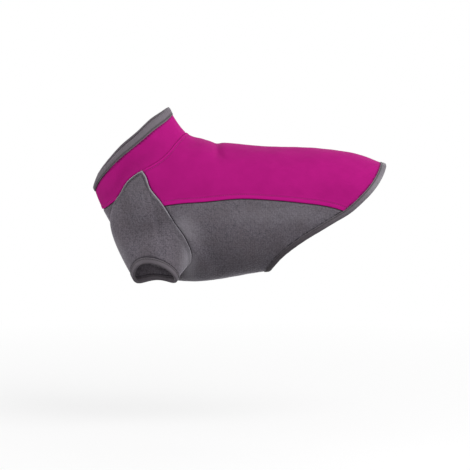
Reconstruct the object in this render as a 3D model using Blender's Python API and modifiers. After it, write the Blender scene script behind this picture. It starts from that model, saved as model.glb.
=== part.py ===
"""Dog fleece pullover, as hollow cloth walls in the shape it has when worn.

The body is one smooth form through slanted sections. Seams are curves on that form, and each panel is the
stretch of form between its seams, thickened inwards. The sleeves are lofted from the armholes to the cuffs,
and a folded tape wraps the collar's edge, the rear hem and both cuffs.

Lengths in the tables are millimetres. +X points to the tail, +Z up, and the garment's left side is at -Y.
The origin is on the inner face of the back panel, on the spine at the withers.
"""

import math
from collections import namedtuple

import bpy
import numpy as np
from mathutils.geometry import delaunay_2d_cdt

MM = 0.001
FLEECE = 2.2                # wall of the grey brushed fleece
SMOOTH_FLEECE = 2.0         # wall of the magenta fleece
SEAM_GAP = 0.15             # each panel stops this far short of its seam line
SEAM_ROW = 3.5              # first row of points inside a panel's edge
CELL = 15.0                 # spacing of the points inside a large panel
COLLAR_CELL = 9.0           # and inside the collar, which bends more
ROW_CLEARANCE = 0.8         # share of that first row's depth which two rows keep near a corner
FILL_CLEARANCE = 0.45       # share of the spacing kept free behind the first row
MEAN_RADIUS = 82.0          # turns an angle round the body into millimetres for that spacing
MERGE = 0.05                # points of the two mirrored halves closer than this are one
CURVE_SAMPLES = 400         # fine steps along a seam when it is measured
SECTION_SAMPLES = 600       # fine steps along the body when a place on it is looked for

TAPE = 1.0                  # wall of the binding tape
TAPE_WIDTH = 9.0            # how far the tape reaches over each face of the cloth
TAPE_PLAY = 0.7            # clearance between the tape and the faces of the cloth
TAPE_FOLD = 1.9             # from the finished edge to the cloth's own edge inside the fold
TAPE_CORNER = 0.8           # how far in from the finished edge the fold is rounded

SPINE = 0.0                 # angle of the back's centre line
BELLY = math.pi             # angle of the belly's centre line

# Each section runs in a straight slanted line, seen from the side, from the spine to the belly line.
# lift moves the widest place of the section up by that share of its half height.
Section = namedtuple("Section", "top_x top_z bottom_x bottom_z half_width lift")
SECTIONS = (
    Section(-99.5, 78.5, -199.5, -37.5, 43.5, -0.14),       # past the collar's edge
    Section(-82.2, 53.8, -190.6, -61.3, 48.0, -0.12),       # collar's edge, at the nape and the throat
    Section(-55.8, 16.0, -177.4, -93.2, 59.0, -0.03),       # collar seam
    Section(-36.5, 7.8, -165.3, -116.9, 67.0, 0.05),        # withers and point of the chest
    Section(0.0, 2.0, -136.3, -166.9, 75.5, 0.08),
    Section(36.0, -1.8, -91.4, -193.0, 78.0, 0.10),         # deepest of the chest
    Section(72.0, -3.2, -29.0, -199.0, 77.0, 0.10),
    Section(108.0, -4.8, 26.0, -189.8, 74.0, 0.10),
    Section(145.0, -6.7, 78.0, -182.0, 69.0, 0.08),
    Section(181.0, -12.2, 130.0, -173.0, 63.5, 0.06),
    Section(210.0, -20.9, 182.0, -160.0, 58.5, 0.04),
    Section(233.5, -29.8, 225.0, -146.0, 54.0, 0.02),       # root of the tail
)

# Knots of the edges and seams, as seen from the garment's left side.
COLLAR_EDGE = (
    (-82.2, 53.8), (-94.3, 44.5), (-108.8, 34.0), (-127.0, 16.5), (-152.0, -5.0), (-170.4, -25.5),
    (-185.4, -46.0), (-190.6, -61.3),
)
COLLAR_SEAM = (
    (-55.8, 16.0), (-69.2, 5.4), (-81.0, -8.2), (-100.4, -23.8), (-119.0, -33.5), (-142.6, -52.0),
    (-154.4, -72.9), (-165.3, -83.5), (-172.4, -89.8), (-177.4, -93.2),
)
TIP_KNOT = 4                # where the sleeve's tip meets the collar seam
FRONT_KNOT = 6              # where the sleeve's front seam meets the collar seam

# The sleeve's seam on the body, from its tip down the back, under the leg and up the front.
ARMHOLE = (
    (-119.0, -33.5), (-112.9, -42.9), (-109.4, -54.3), (-99.1, -68.9), (-88.4, -82.0), (-71.9, -108.0),
    (-59.8, -124.3), (-52.0, -138.8), (-48.5, -150.9), (-51.2, -166.2), (-68.0, -173.0), (-87.0, -174.5),
    (-108.0, -167.5), (-128.0, -155.0), (-146.0, -140.0), (-157.0, -121.0), (-162.8, -103.0), (-160.5, -86.0),
    (-154.4, -72.9),
)
SIDE_KNOT = 4               # where the side seam meets the armhole

SIDE_SEAM = (
    (-88.4, -82.0), (-62.4, -78.5), (-33.0, -76.4), (-3.0, -73.4), (26.0, -71.7), (70.0, -74.0),
    (115.0, -78.8), (145.0, -83.3), (171.5, -91.3), (179.8, -94.9),
)
HEM = (
    (233.5, -29.8), (226.2, -45.5), (210.5, -66.8), (196.0, -81.2), (179.8, -94.9), (164.0, -104.8),
    (133.4, -123.5), (106.4, -141.0), (84.2, -159.6), (72.8, -173.4), (65.5, -184.3),
)
HEM_SIDE_KNOT = 4           # where the side seam meets the hem

# Soft folds of the worn cloth, as seen from the left: middle, heading in degrees up from +X, how far it
# reaches either way along and across, and its height, below zero for a trough.
Fold = namedtuple("Fold", "x z heading length width height")
BODY_FOLDS = (
    Fold(-11.0, -2.0, -80.0, 17.0, 6.5, -2.8),      # crease over the withers
    Fold(-34.0, 6.0, -75.0, 14.0, 8.0, 0.9),        # rise before it
    Fold(-143.0, -43.0, 51.0, 30.0, 9.0, -2.0),     # hollow along the collar's side
    Fold(-164.0, -60.0, 55.0, 18.0, 7.0, 0.9),
    Fold(-50.0, -140.0, -62.0, 34.0, 14.0, 3.4),    # the seam stands out over the elbow
    Fold(-24.0, -142.0, -74.0, 32.0, 12.0, -2.2),   # hollow behind it
    Fold(20.0, -140.0, -60.0, 36.0, 20.0, 0.9),
)
SLEEVE_FOLDS = (
    Fold(-108.0, -126.0, 18.0, 38.0, 13.0, -3.2),   # hollow across the upper arm
    Fold(-97.0, -154.0, 20.0, 32.0, 11.0, 1.6),     # roll above the cuff
)

# The cuff's finished edge: an oval ring. Its outer side is pulled up by tilt and arch, less round, and the
# highest place is skewed to the front; the whole ring leans down to the rear.
CUFF_CENTRE = (-100.8, -61.0, -190.0)
CUFF_HALF_LENGTH = 30.0
CUFF_HALF_WIDTH = 23.5
CUFF_TILT = 20.0
CUFF_ARCH = 10.0
CUFF_ROUND = 6.0
CUFF_SKEW = 2.5
CUFF_LEAN = 2.5
CUFF_DROP = (0.0, -0.12, -1.0)
CUFF_TAPER = (0.6, 0.2)     # how much the sleeve draws in towards the cuff, along and across the body

# Stations round the armhole, from the tip down the front: share of its length, place on the cuff (degrees,
# 90 outside, 180 in front), lean (0 leaves along the body's surface, 1 straight for the cuff), and fullness.
SleeveStation = namedtuple("SleeveStation", "share cuff_angle lean fullness")
SLEEVE_STATIONS = (
    SleeveStation(0.000, 90.0, 0.0, 0.90),
    SleeveStation(0.128, 140.0, 2.5, 1.00),
    SleeveStation(0.214, 180.0, 8.2, 0.80),
    SleeveStation(0.323, 225.0, 2.6, 0.45),
    SleeveStation(0.432, 275.0, 0.9, 0.50),
    SleeveStation(0.544, 325.0, 0.9, 0.50),
    SleeveStation(0.650, 360.0, 0.5, 0.80),
    SleeveStation(0.853, 410.0, 0.1, 0.90),
    SleeveStation(1.000, 450.0, 0.0, 0.90),
)
SLEEVE_ROWS = (0.0, 0.04, 0.14, 0.27, 0.40, 0.53, 0.66, 0.78, 0.89, 1.0)
CUFF_PULL = 0.55            # how long the sleeve keeps the cuff's direction

# How many straight pieces each stretch of seam is divided into.
STEPS_NAPE = 9
STEPS_TIP = 6
STEPS_THROAT = 5
STEPS_RAGLAN = 6
STEPS_UNDERARM = 30
STEPS_SIDE = 18
STEPS_HEM_BACK = 8
STEPS_HEM_UNDER = 12
STEPS_COLLAR_EDGE = 22

MAGENTA = "#B02082"
GREY_FLEECE = "#6C676C"
GREY_TAPE = "#6A686B"


# ---------------------------------------------------------------- curves

class Spline:
    """Natural cubic curve through rows of values at rising stations."""

    def __init__(self, stations, rows):
        self.stations = np.asarray(stations, float)
        self.rows = np.asarray(rows, float)
        count = len(self.stations)
        step = np.diff(self.stations)
        slope = np.diff(self.rows, axis=0) / step[:, None]
        matrix = np.eye(count)
        right = np.zeros_like(self.rows)
        for i in range(1, count - 1):
            matrix[i, i - 1:i + 2] = step[i - 1], 2.0 * (step[i - 1] + step[i]), step[i]
            right[i] = 6.0 * (slope[i] - slope[i - 1])
        self.bend = np.linalg.solve(matrix, right)

    def __call__(self, at):
        at = np.asarray(at, float)
        i = np.clip(np.searchsorted(self.stations, at) - 1, 0, len(self.stations) - 2)
        step = (self.stations[i + 1] - self.stations[i])[..., None]
        after = (at - self.stations[i])[..., None] / step
        before = 1.0 - after
        curved = (before ** 3 - before) * self.bend[i] + (after ** 3 - after) * self.bend[i + 1]
        return before * self.rows[i] + after * self.rows[i + 1] + curved * step ** 2 / 6.0


def running_length(points):
    """Distance along a polyline at each of its points."""
    steps = np.linalg.norm(np.diff(points, axis=0), axis=1)
    return np.concatenate([[0.0], np.cumsum(steps)])


def unit(vectors):
    """Vectors scaled to length one."""
    return vectors / np.linalg.norm(vectors, axis=-1, keepdims=True)


# ---------------------------------------------------------------- the body's form

def section_spline():
    """Sections as one curve of values, at stations measured along the middle of the body."""
    rows = np.array(SECTIONS)
    middles = (rows[:, 0:2] + rows[:, 2:4]) / 2.0
    return Spline(running_length(middles), rows)


BODY = section_spline()


def smooth_form(ua):
    """The body without folds at pairs of station and angle, on the left side for angles 0 to pi."""
    values = BODY(ua[..., 0])
    top, bottom = values[..., 0:2], values[..., 2:4]
    half_width, lift = values[..., 4], values[..., 5]
    cosine, sine = np.cos(ua[..., 1]), np.sin(ua[..., 1])
    along = cosine + lift * sine ** 2
    side_view = (top + bottom) / 2.0 + (top - bottom) / 2.0 * along[..., None]
    return np.stack([side_view[..., 0], -half_width * sine, side_view[..., 1]], axis=-1)


def slopes(surface, ua):
    """Change of a surface per millimetre of station and per radian."""
    by_station = np.array([0.5, 0.0])
    by_angle = np.array([0.0, 0.005])
    along_u = surface(ua + by_station) - surface(ua - by_station)
    along_a = (surface(ua + by_angle) - surface(ua - by_angle)) / 0.01
    return along_u, along_a


def relief(points, folds):
    """Height of the folds at points seen from the left."""
    height = np.zeros(points.shape[:-1])
    for fold in folds:
        across_x, across_z = points[..., 0] - fold.x, points[..., 2] - fold.z
        cosine, sine = math.cos(math.radians(fold.heading)), math.sin(math.radians(fold.heading))
        along = (across_x * cosine + across_z * sine) / fold.length
        across = (across_z * cosine - across_x * sine) / fold.width
        height += fold.height * np.exp(-along ** 2 - across ** 2)
    return height[..., None]


def form(ua):
    """Outer face of the body cloth at pairs of station and angle."""
    points = smooth_form(ua)
    along_u, along_a = slopes(smooth_form, ua)
    return points + unit(np.cross(along_a, along_u)) * relief(points, BODY_FOLDS)


def form_normal(ua):
    """Unit normal of the form, pointing out of the body."""
    along_u, along_a = slopes(form, ua)
    return unit(np.cross(along_a, along_u))


def walk(ua, offset):
    """Stations and angles reached by moving along the form by a short offset in space."""
    along_u, along_a = slopes(form, ua)
    uu = (along_u * along_u).sum(-1)
    aa = (along_a * along_a).sum(-1)
    mixed = (along_u * along_a).sum(-1)
    to_u = (along_u * offset).sum(-1)
    to_a = (along_a * offset).sum(-1)
    scale = uu * aa - mixed ** 2
    change = np.stack([(aa * to_u - mixed * to_a) / scale, (uu * to_a - mixed * to_u) / scale], axis=-1)
    return ua + change


def seen_from_left(x, z):
    """Station and angle of the place on the form that shows at x, z from the left side."""
    stations = np.linspace(BODY.stations[0], BODY.stations[-1] + SEAM_ROW, SECTION_SAMPLES)
    side = side_of_section(stations, x, z)
    crossing = np.nonzero(side[:-1] * side[1:] <= 0.0)[0][0]
    low, high = stations[crossing], stations[crossing + 1]
    station = low + (high - low) * side[crossing] / (side[crossing] - side[crossing + 1])
    values = BODY(station)
    middle = (values[0:2] + values[2:4]) / 2.0
    half = (values[0:2] - values[2:4]) / 2.0
    along = np.clip(np.dot([x, z] - middle, half) / np.dot(half, half), -1.0, 1.0)
    above = along - values[5]
    cosine = 2.0 * above / (1.0 + math.sqrt(1.0 - 4.0 * values[5] * above))
    return station, math.acos(max(-1.0, min(1.0, cosine)))


def side_of_section(stations, x, z):
    """Which side of each section's line a side-view point lies on, as a signed area."""
    values = BODY(stations)
    axis = values[:, 0:2] - values[:, 2:4]
    return axis[:, 0] * (z - values[:, 3]) - axis[:, 1] * (x - values[:, 2])


# ---------------------------------------------------------------- seams

class Seam:
    """Smooth curve on the form through side-view knots; a fold end meets its centre line squarely."""

    def __init__(self, knots, start_fold=None, end_fold=None):
        ua = np.array([seen_from_left(x, z) for x, z in knots])
        before, after = [], []
        if start_fold is not None:
            ua[0, 1] = start_fold
            before = [mirrored_pair(ua[1], start_fold)]
        if end_fold is not None:
            ua[-1, 1] = end_fold
            after = [mirrored_pair(ua[-2], end_fold)]
        all_knots = np.array(before + list(ua) + after)
        stations = running_length(form(all_knots))
        self.curve = Spline(stations, all_knots)
        self.knots = stations[len(before):len(before) + len(ua)]

    def points(self, first, last, steps):
        """Evenly spaced stations and angles from one knot to another."""
        fine = np.linspace(self.knots[first], self.knots[last], CURVE_SAMPLES)
        length = running_length(form(self.curve(fine)))
        even = np.interp(np.linspace(0.0, length[-1], steps + 1), length, fine)
        return self.curve(even)


def mirrored_pair(pair, fold):
    """The same place on the other side of a centre line."""
    return np.array([pair[0], 2.0 * fold - pair[1]])


def fold_line(start, end, angle, spacing):
    """Points along a centre line between two stations."""
    steps = max(2, int(round(abs(end - start) / spacing)))
    stations = np.linspace(start, end, steps + 1)
    return np.stack([stations, np.full(steps + 1, angle)], axis=-1)


def towards_inside(ua):
    """Unit vectors in the form's surface, to the left of the way along a run of points."""
    heading = np.gradient(form(ua), axis=0)
    return unit(np.cross(form_normal(ua), heading))


# ---------------------------------------------------------------- panels

Edge = namedtuple("Edge", "points inset")


def inset_outline(edges, extra=0.0):
    """One closed run of points from the edges of a panel, each edge moved in by its own inset."""
    outline = []
    for index, edge in enumerate(edges):
        inward = towards_inside(edge.points)
        depth = edge_depth(edge, extra)
        middle = edge.points[1:-1]
        previous = edges[index - 1]
        corner = corner_offset(towards_inside(previous.points)[-1], edge_depth(previous, extra), inward[0], depth)
        outline.append(walk(edge.points[:1], corner[None, :]))
        outline.append(walk(middle, inward[1:-1] * depth) if depth else middle)
    return np.concatenate(outline)


def edge_depth(edge, extra):
    """How far an edge moves in; a fold stays on its centre line."""
    return edge.inset + extra if edge.inset else 0.0


def corner_offset(inward_before, depth_before, inward_after, depth_after):
    """Move of a corner that brings it in by one depth from each of its two edges."""
    cosine = float(np.dot(inward_before, inward_after))
    if cosine > 0.98:
        return inward_after * depth_after
    weights = np.linalg.solve([[1.0, cosine], [cosine, 1.0]], [depth_before, depth_after])
    return weights[0] * inward_before + weights[1] * inward_after


def flat(ua):
    """The form's stations and angles as millimetres on a flat sheet."""
    return np.stack([ua[..., 0], ua[..., 1] * MEAN_RADIUS], axis=-1)


def inside_outline(points, outline):
    """Which flat points lie inside a closed outline."""
    start = outline
    end = np.roll(outline, -1, axis=0)
    inside = np.zeros(len(points), bool)
    for (x0, y0), (x1, y1) in zip(start, end):
        if y0 == y1:
            continue
        spans = (points[:, 1] < y0) != (points[:, 1] < y1)
        crossing = x0 + (points[:, 1] - y0) * (x1 - x0) / (y1 - y0)
        inside ^= spans & (points[:, 0] < crossing)
    return inside


def distance_to_outline(points, outline):
    """Shortest distance from each flat point to a closed outline."""
    nearest = np.full(len(points), np.inf)
    for start, end in zip(outline, np.roll(outline, -1, axis=0)):
        side = end - start
        share = np.clip(((points - start) @ side) / (side @ side), 0.0, 1.0)
        gap = np.linalg.norm(points - start - share[:, None] * side, axis=1)
        nearest = np.minimum(nearest, gap)
    return nearest


def staggered_points(outline, cell):
    """Evenly staggered flat points over the outline's box."""
    low, high = outline.min(axis=0), outline.max(axis=0)
    rise = cell * math.sqrt(0.75)
    points = []
    for row in range(int((high[1] - low[1]) / rise) + 1):
        shift = cell / 2.0 * (row % 2)
        xs = np.arange(low[0] + shift, high[0], cell)
        points += [(x, low[1] + row * rise) for x in xs]
    return np.array(points)


def panel_surface(edges, cell):
    """Stations, angles and triangles of a panel between its edges."""
    outline = inset_outline(edges)
    inner_row = flat(inset_outline(edges, SEAM_ROW))
    border = flat(outline)
    inner_row = inner_row[inside_outline(inner_row, border)]
    inner_row = inner_row[distance_to_outline(inner_row, border) > SEAM_ROW * ROW_CLEARANCE]
    filling = staggered_points(border, cell)
    filling = filling[inside_outline(filling, border)]
    filling = filling[distance_to_outline(filling, border) > SEAM_ROW + cell * FILL_CLEARANCE]
    points = np.concatenate([border, inner_row, filling])
    loop = [(i, (i + 1) % len(border)) for i in range(len(border))]
    result = delaunay_2d_cdt([tuple(p) for p in points], loop, [], 1, 1e-4)
    sheet = np.array([tuple(p) for p in result[0]])
    ua = np.stack([sheet[:, 0], sheet[:, 1] / MEAN_RADIUS], axis=-1)
    return ua, result[2]


def faces_outwards(points, faces, normals):
    """Faces turned so that they look the way of the given normals."""
    a, b, c = (points[list(faces[0])][k] for k in range(3))
    if np.dot(np.cross(b - a, c - a), normals[faces[0][0]]) < 0.0:
        return [tuple(reversed(face)) for face in faces]
    return [tuple(face) for face in faces]


# ---------------------------------------------------------------- making objects

def linear(hex_colour):
    """Linear colour from an sRGB hex value."""
    channels = [int(hex_colour[i:i + 2], 16) / 255.0 for i in (1, 3, 5)]
    return [c / 12.92 if c <= 0.04045 else ((c + 0.055) / 1.055) ** 2.4 for c in channels] + [1.0]


def material(name, hex_colour, roughness):
    """Principled material with one colour."""
    made = bpy.data.materials.new(name)
    made.use_nodes = True
    shader = made.node_tree.nodes["Principled BSDF"]
    shader.inputs["Base Color"].default_value = linear(hex_colour)
    shader.inputs["Roughness"].default_value = roughness
    shader.inputs["Metallic"].default_value = 0.0
    return made


def add_object(name, points, faces, collection, finish):
    """Mesh object from points in millimetres."""
    mesh = bpy.data.meshes.new(name)
    mesh.from_pydata([tuple(p * MM) for p in points], [], faces)
    mesh.shade_smooth()
    mesh.materials.append(finish)
    made = bpy.data.objects.new(name, mesh)
    collection.objects.link(made)
    return made


def mirror_across_spine(made):
    """Second half of a piece cut on the fold."""
    modifier = made.modifiers.new("Fold", "MIRROR")
    modifier.use_axis = (False, True, False)
    modifier.merge_threshold = MERGE * MM


def thicken(made, wall):
    """Cloth wall, from the outer face inwards."""
    modifier = made.modifiers.new("Cloth", "SOLIDIFY")
    modifier.thickness = wall * MM
    modifier.offset = -1.0
    modifier.use_rim = True


def panel(name, edges, wall, cell, collection, finish):
    """Half panel on the form, mirrored across the fold and thickened."""
    ua, faces = panel_surface(edges, cell)
    points = form(ua)
    points[np.abs(points[:, 1]) < MERGE / 2.0, 1] = 0.0
    made = add_object(name, points, faces_outwards(points, faces, form_normal(ua)), collection, finish)
    mirror_across_spine(made)
    thicken(made, wall)
    return made


# ---------------------------------------------------------------- binding tape

def tape_section(cloth):
    """Folded tape round a cloth edge: distance in from the finished edge, height above the outer face."""
    near, far, halfway = TAPE_PLAY, TAPE_PLAY + TAPE, TAPE_WIDTH / 2.0
    outside = [(TAPE_WIDTH, far), (halfway, far), (TAPE_CORNER, far), (0.0, near)]
    inside = [(TAPE, near), (halfway, near), (TAPE_WIDTH, near)]
    return (outside + [(depth, -cloth - height) for depth, height in reversed(outside)]
            + [(depth, -cloth - height) for depth, height in reversed(inside)] + inside)


def swept_faces(steps, around, closed):
    """Quads between neighbouring sections of a swept closed outline."""
    faces = []
    rings = steps if closed else steps - 1
    for i in range(rings):
        following = (i + 1) % steps
        for k in range(around):
            after = (k + 1) % around
            faces.append((i * around + k, i * around + after, following * around + after, following * around + k))
    return faces


def turned_over(faces):
    """The same quads facing the other way, with their diagonals kept."""
    return [(a, d, c, b) for a, b, c, d in faces]


def form_tape(name, edge, cloth, collection, finish):
    """Tape along half of a finished edge on the form, mirrored across the fold."""
    inward = towards_inside(edge)
    inward[0, 1] = inward[-1, 1] = 0.0
    section = tape_section(cloth)
    columns = []
    for depth, height in section:
        halfway = walk(edge, inward * depth / 2.0)
        place = walk(halfway, inward * depth / 2.0)
        columns.append(form(place) + form_normal(place) * height)
    points = np.stack(columns, axis=1).reshape(-1, 3)
    count = len(section)
    points[:count, 1] = 0.0
    points[-count:, 1] = 0.0
    faces = swept_faces(len(edge), count, closed=False)
    made = add_object(name, points, faces, collection, finish)
    mirror_across_spine(made)
    return made


# ---------------------------------------------------------------- sleeves

def cuff_ring(degrees):
    """Finished edge of the left cuff at places round it, 90 outside and 180 in front."""
    angle = np.radians(degrees)
    x = CUFF_CENTRE[0] + CUFF_HALF_LENGTH * np.cos(angle)
    y = CUFF_CENTRE[1] - CUFF_HALF_WIDTH * np.sin(angle)
    outward = np.sin(angle)
    pulled_up = CUFF_TILT * outward + CUFF_ARCH * outward ** 2 - CUFF_ROUND * outward ** 3
    z = CUFF_CENTRE[2] + pulled_up - CUFF_SKEW * np.sin(2.0 * angle) - CUFF_LEAN * np.cos(angle)
    return np.stack([x, y, z], axis=-1)


def cuff_slope(degrees):
    """Directions in which the sleeve runs into the cuff at places round it."""
    angle = np.radians(degrees)
    x = CUFF_DROP[0] - CUFF_TAPER[0] * np.cos(angle)
    y = CUFF_DROP[1] + CUFF_TAPER[1] * np.sin(angle)
    return unit(np.stack([x, y, np.full(len(angle), CUFF_DROP[2])], axis=-1))


class Sleeve:
    """Left sleeve as a smooth surface from the armhole, at 0, to the finished edge of the cuff, at 1."""

    def __init__(self, armhole):
        seam = form(armhole)
        length = running_length(np.concatenate([seam, seam[:1]]))
        values = sleeve_stations()(length[:-1] / length[-1])
        self.end = cuff_ring(values[:, 0])
        self.start = seam + towards_hole(armhole, SEAM_GAP)
        reach = np.linalg.norm(self.end - self.start, axis=1)[:, None]
        way = (self.end - self.start) / reach
        normal = form_normal(armhole)
        out_of_body = (way * normal).sum(-1, keepdims=True)
        self.leave = unit(way - normal * out_of_body * (1.0 - values[:, 1:2])) * reach * values[:, 2:3]
        self.arrive = cuff_slope(values[:, 0]) * reach * CUFF_PULL

    def smooth_at(self, share):
        """Points round the sleeve without its folds."""
        t = np.broadcast_to(np.asarray(share, float), (len(self.start),))[:, None]
        return ((2 * t ** 3 - 3 * t ** 2 + 1) * self.start + (t ** 3 - 2 * t ** 2 + t) * self.leave
                + (3 * t ** 2 - 2 * t ** 3) * self.end + (t ** 3 - t ** 2) * self.arrive)

    def at(self, share):
        """Points round the sleeve, at one share of its length or at a share for each place round it."""
        points = self.smooth_at(share)
        t = np.broadcast_to(np.asarray(share, float), (len(self.start),))[:, None]
        outer_side = np.clip((CUFF_CENTRE[1] - points[:, 1:2]) / CUFF_HALF_WIDTH, 0.0, 1.0)
        fading = np.sin(math.pi * np.clip(t, 0.0, 1.0)) ** 2 * outer_side
        return points + np.array([0.0, -1.0, 0.0]) * relief(points, SLEEVE_FOLDS) * fading

    def normal(self, share):
        """Unit normals round the sleeve, pointing out of it."""
        here = self.at(share)
        down = self.at(share + 0.01) - self.at(share - 0.01)
        around = np.roll(here, -1, axis=0) - np.roll(here, 1, axis=0)
        return unit(np.cross(around, down))

    def share_above_cuff(self, distance):
        """Share of the sleeve's length, at each place round it, that lies a distance above the finished edge."""
        low, high = np.zeros(len(self.start)), np.ones(len(self.start))
        for _ in range(40):
            middle = (low + high) / 2.0
            above = np.linalg.norm(self.at(middle) - self.end, axis=1) > distance
            low, high = np.where(above, middle, low), np.where(above, high, middle)
        return low


def sleeve_stations():
    """Sleeve stations as a closed curve of cuff angle, lean and pull."""
    rows = np.array(SLEEVE_STATIONS)
    turn = np.array([1.0, 360.0, 0.0, 0.0])
    rows = np.concatenate([rows[-3:-1] - turn, rows, rows[1:3] + turn])
    return Spline(rows[:, 0], rows[:, 1:])


def towards_hole(armhole, depth):
    """Moves in the form's surface that bring a closed armhole in by a depth, also at its corners."""
    here = form(armhole)
    normal = form_normal(armhole)
    inward_before = unit(np.cross(normal, here - np.roll(here, 1, axis=0)))
    inward_after = unit(np.cross(normal, np.roll(here, -1, axis=0) - here))
    inward = unit(inward_before + inward_after)
    return inward * depth / (inward * inward_before).sum(-1, keepdims=True)


def sleeve_object(name, sleeve, side, collection, finish):
    """Sleeve wall from the armhole into the fold of the cuff's tape, on the left for side 1, the right for -1."""
    above_tape = sleeve.share_above_cuff(TAPE_WIDTH)
    rings = [sleeve.at(above_tape * row) for row in SLEEVE_ROWS]
    rings.append(sleeve.at(sleeve.share_above_cuff(TAPE_WIDTH / 2.0)))
    rings.append(sleeve.at(sleeve.share_above_cuff(TAPE_FOLD)))
    points = np.concatenate(rings) * (1.0, side, 1.0)
    faces = swept_faces(len(rings), len(sleeve.start), closed=False)
    if side < 0:
        faces = turned_over(faces)
    made = add_object(name, points, faces, collection, finish)
    thicken(made, FLEECE)
    return made


def cuff_tape(name, sleeve, side, collection, finish):
    """Folded tape round one cuff."""
    columns = []
    for depth, height in tape_section(FLEECE):
        share = sleeve.share_above_cuff(depth)
        columns.append(sleeve.at(share) + sleeve.normal(share) * height)
    points = np.stack(columns, axis=1).reshape(-1, 3) * (1.0, side, 1.0)
    faces = swept_faces(len(columns[0]), len(columns), closed=True)
    if side > 0:
        faces = turned_over(faces)
    return add_object(name, points, faces, collection, finish)


# ---------------------------------------------------------------- the garment

def remove_everything():
    """Empty the scene of its starting objects."""
    for existing in list(bpy.data.objects):
        bpy.data.objects.remove(existing)


def build():
    """Every piece of the pullover."""
    remove_everything()
    garment = bpy.data.collections.new("dog_fleece_pullover")
    bpy.context.scene.collection.children.link(garment)
    magenta = material("magenta_smooth_fleece", MAGENTA, 0.75)
    grey = material("grey_brushed_fleece", GREY_FLEECE, 0.95)
    tape = material("grey_binding_tape", GREY_TAPE, 0.6)

    edge = Seam(COLLAR_EDGE, start_fold=SPINE, end_fold=BELLY)
    neck = Seam(COLLAR_SEAM, start_fold=SPINE, end_fold=BELLY)
    armhole = Seam(ARMHOLE)
    side = Seam(SIDE_SEAM)
    hem = Seam(HEM, start_fold=SPINE, end_fold=BELLY)
    last_neck, last_armhole, last_side = len(COLLAR_SEAM) - 1, len(ARMHOLE) - 1, len(SIDE_SEAM) - 1
    last_hem = len(HEM) - 1

    collar_edge = edge.points(0, len(COLLAR_EDGE) - 1, STEPS_COLLAR_EDGE)
    nape_seam = neck.points(0, TIP_KNOT, STEPS_NAPE)
    shoulder_seam = neck.points(TIP_KNOT, FRONT_KNOT, STEPS_TIP)
    throat_seam = neck.points(FRONT_KNOT, last_neck, STEPS_THROAT)
    raglan = armhole.points(0, SIDE_KNOT, STEPS_RAGLAN)
    underarm = armhole.points(SIDE_KNOT, last_armhole, STEPS_UNDERARM)
    side_seam = side.points(0, last_side, STEPS_SIDE)
    hem_back = hem.points(0, HEM_SIDE_KNOT, STEPS_HEM_BACK)
    hem_under = hem.points(HEM_SIDE_KNOT, last_hem, STEPS_HEM_UNDER)

    panel("back_panel", (
        Edge(nape_seam, SEAM_GAP), Edge(raglan, SEAM_GAP), Edge(side_seam, SEAM_GAP),
        Edge(hem_back[::-1], TAPE_FOLD), Edge(fold_line(hem_back[0, 0], nape_seam[0, 0], SPINE, CELL), 0.0),
    ), SMOOTH_FLEECE, CELL, garment, magenta)
    panel("under_panel", (
        Edge(throat_seam, SEAM_GAP), Edge(fold_line(throat_seam[-1, 0], hem_under[-1, 0], BELLY, CELL), 0.0),
        Edge(hem_under[::-1], TAPE_FOLD), Edge(side_seam[::-1], SEAM_GAP), Edge(underarm, SEAM_GAP),
    ), FLEECE, CELL, garment, grey)

    panel("collar", (
        Edge(collar_edge, TAPE_FOLD), Edge(fold_line(collar_edge[-1, 0], throat_seam[-1, 0], BELLY, CELL), 0.0),
        Edge(throat_seam[::-1], SEAM_GAP), Edge(shoulder_seam[::-1], SEAM_GAP), Edge(nape_seam[::-1], SEAM_GAP),
        Edge(fold_line(nape_seam[0, 0], collar_edge[0, 0], SPINE, CELL), 0.0),
    ), SMOOTH_FLEECE, COLLAR_CELL, garment, magenta)

    form_tape("collar_binding", collar_edge, SMOOTH_FLEECE, garment, tape)
    whole_hem = np.concatenate([hem_back[:-1], hem_under])
    form_tape("hem_binding", whole_hem[::-1], FLEECE, garment, tape)

    front_up = np.concatenate([shoulder_seam[:-1], underarm[::-1][:-1], raglan[::-1][:-1]])
    sleeve = Sleeve(front_up)
    for word, side_sign in (("left", 1.0), ("right", -1.0)):
        sleeve_object(word + "_sleeve", sleeve, side_sign, garment, grey)
        cuff_tape(word + "_cuff_binding", sleeve, side_sign, garment, tape)


build()
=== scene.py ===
"""Looks of the dog fleece pullover, built on the form of its solids.

Each cloth piece repeats the sections, seams and folds of its solid at a finer grain, and adds what sewing
does to cloth: a folded edge lapped over its neighbour and topstitched, an edge that dips into the seam, and
a folded tape round every opening.

Lengths in the tables are millimetres. +X points to the rear hem, +Z up, and the garment's left is at -Y.
"""

import math
from collections import namedtuple

import bmesh
import bpy
import numpy as np
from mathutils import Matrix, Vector
from mathutils.geometry import delaunay_2d_cdt


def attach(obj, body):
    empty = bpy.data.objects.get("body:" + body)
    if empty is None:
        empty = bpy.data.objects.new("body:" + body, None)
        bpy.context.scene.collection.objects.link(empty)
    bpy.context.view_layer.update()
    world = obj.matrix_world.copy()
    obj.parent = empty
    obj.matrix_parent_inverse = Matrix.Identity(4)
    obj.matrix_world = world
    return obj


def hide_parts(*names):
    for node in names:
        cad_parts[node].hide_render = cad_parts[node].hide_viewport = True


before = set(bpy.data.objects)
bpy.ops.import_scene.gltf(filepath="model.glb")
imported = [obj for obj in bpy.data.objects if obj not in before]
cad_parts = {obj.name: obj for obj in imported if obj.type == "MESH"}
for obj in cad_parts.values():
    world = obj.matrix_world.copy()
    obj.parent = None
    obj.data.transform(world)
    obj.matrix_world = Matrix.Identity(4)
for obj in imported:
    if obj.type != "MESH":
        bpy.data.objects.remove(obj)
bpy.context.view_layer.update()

# ---------------------------------------------------------------- sizes of the form, as in its solids

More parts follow.
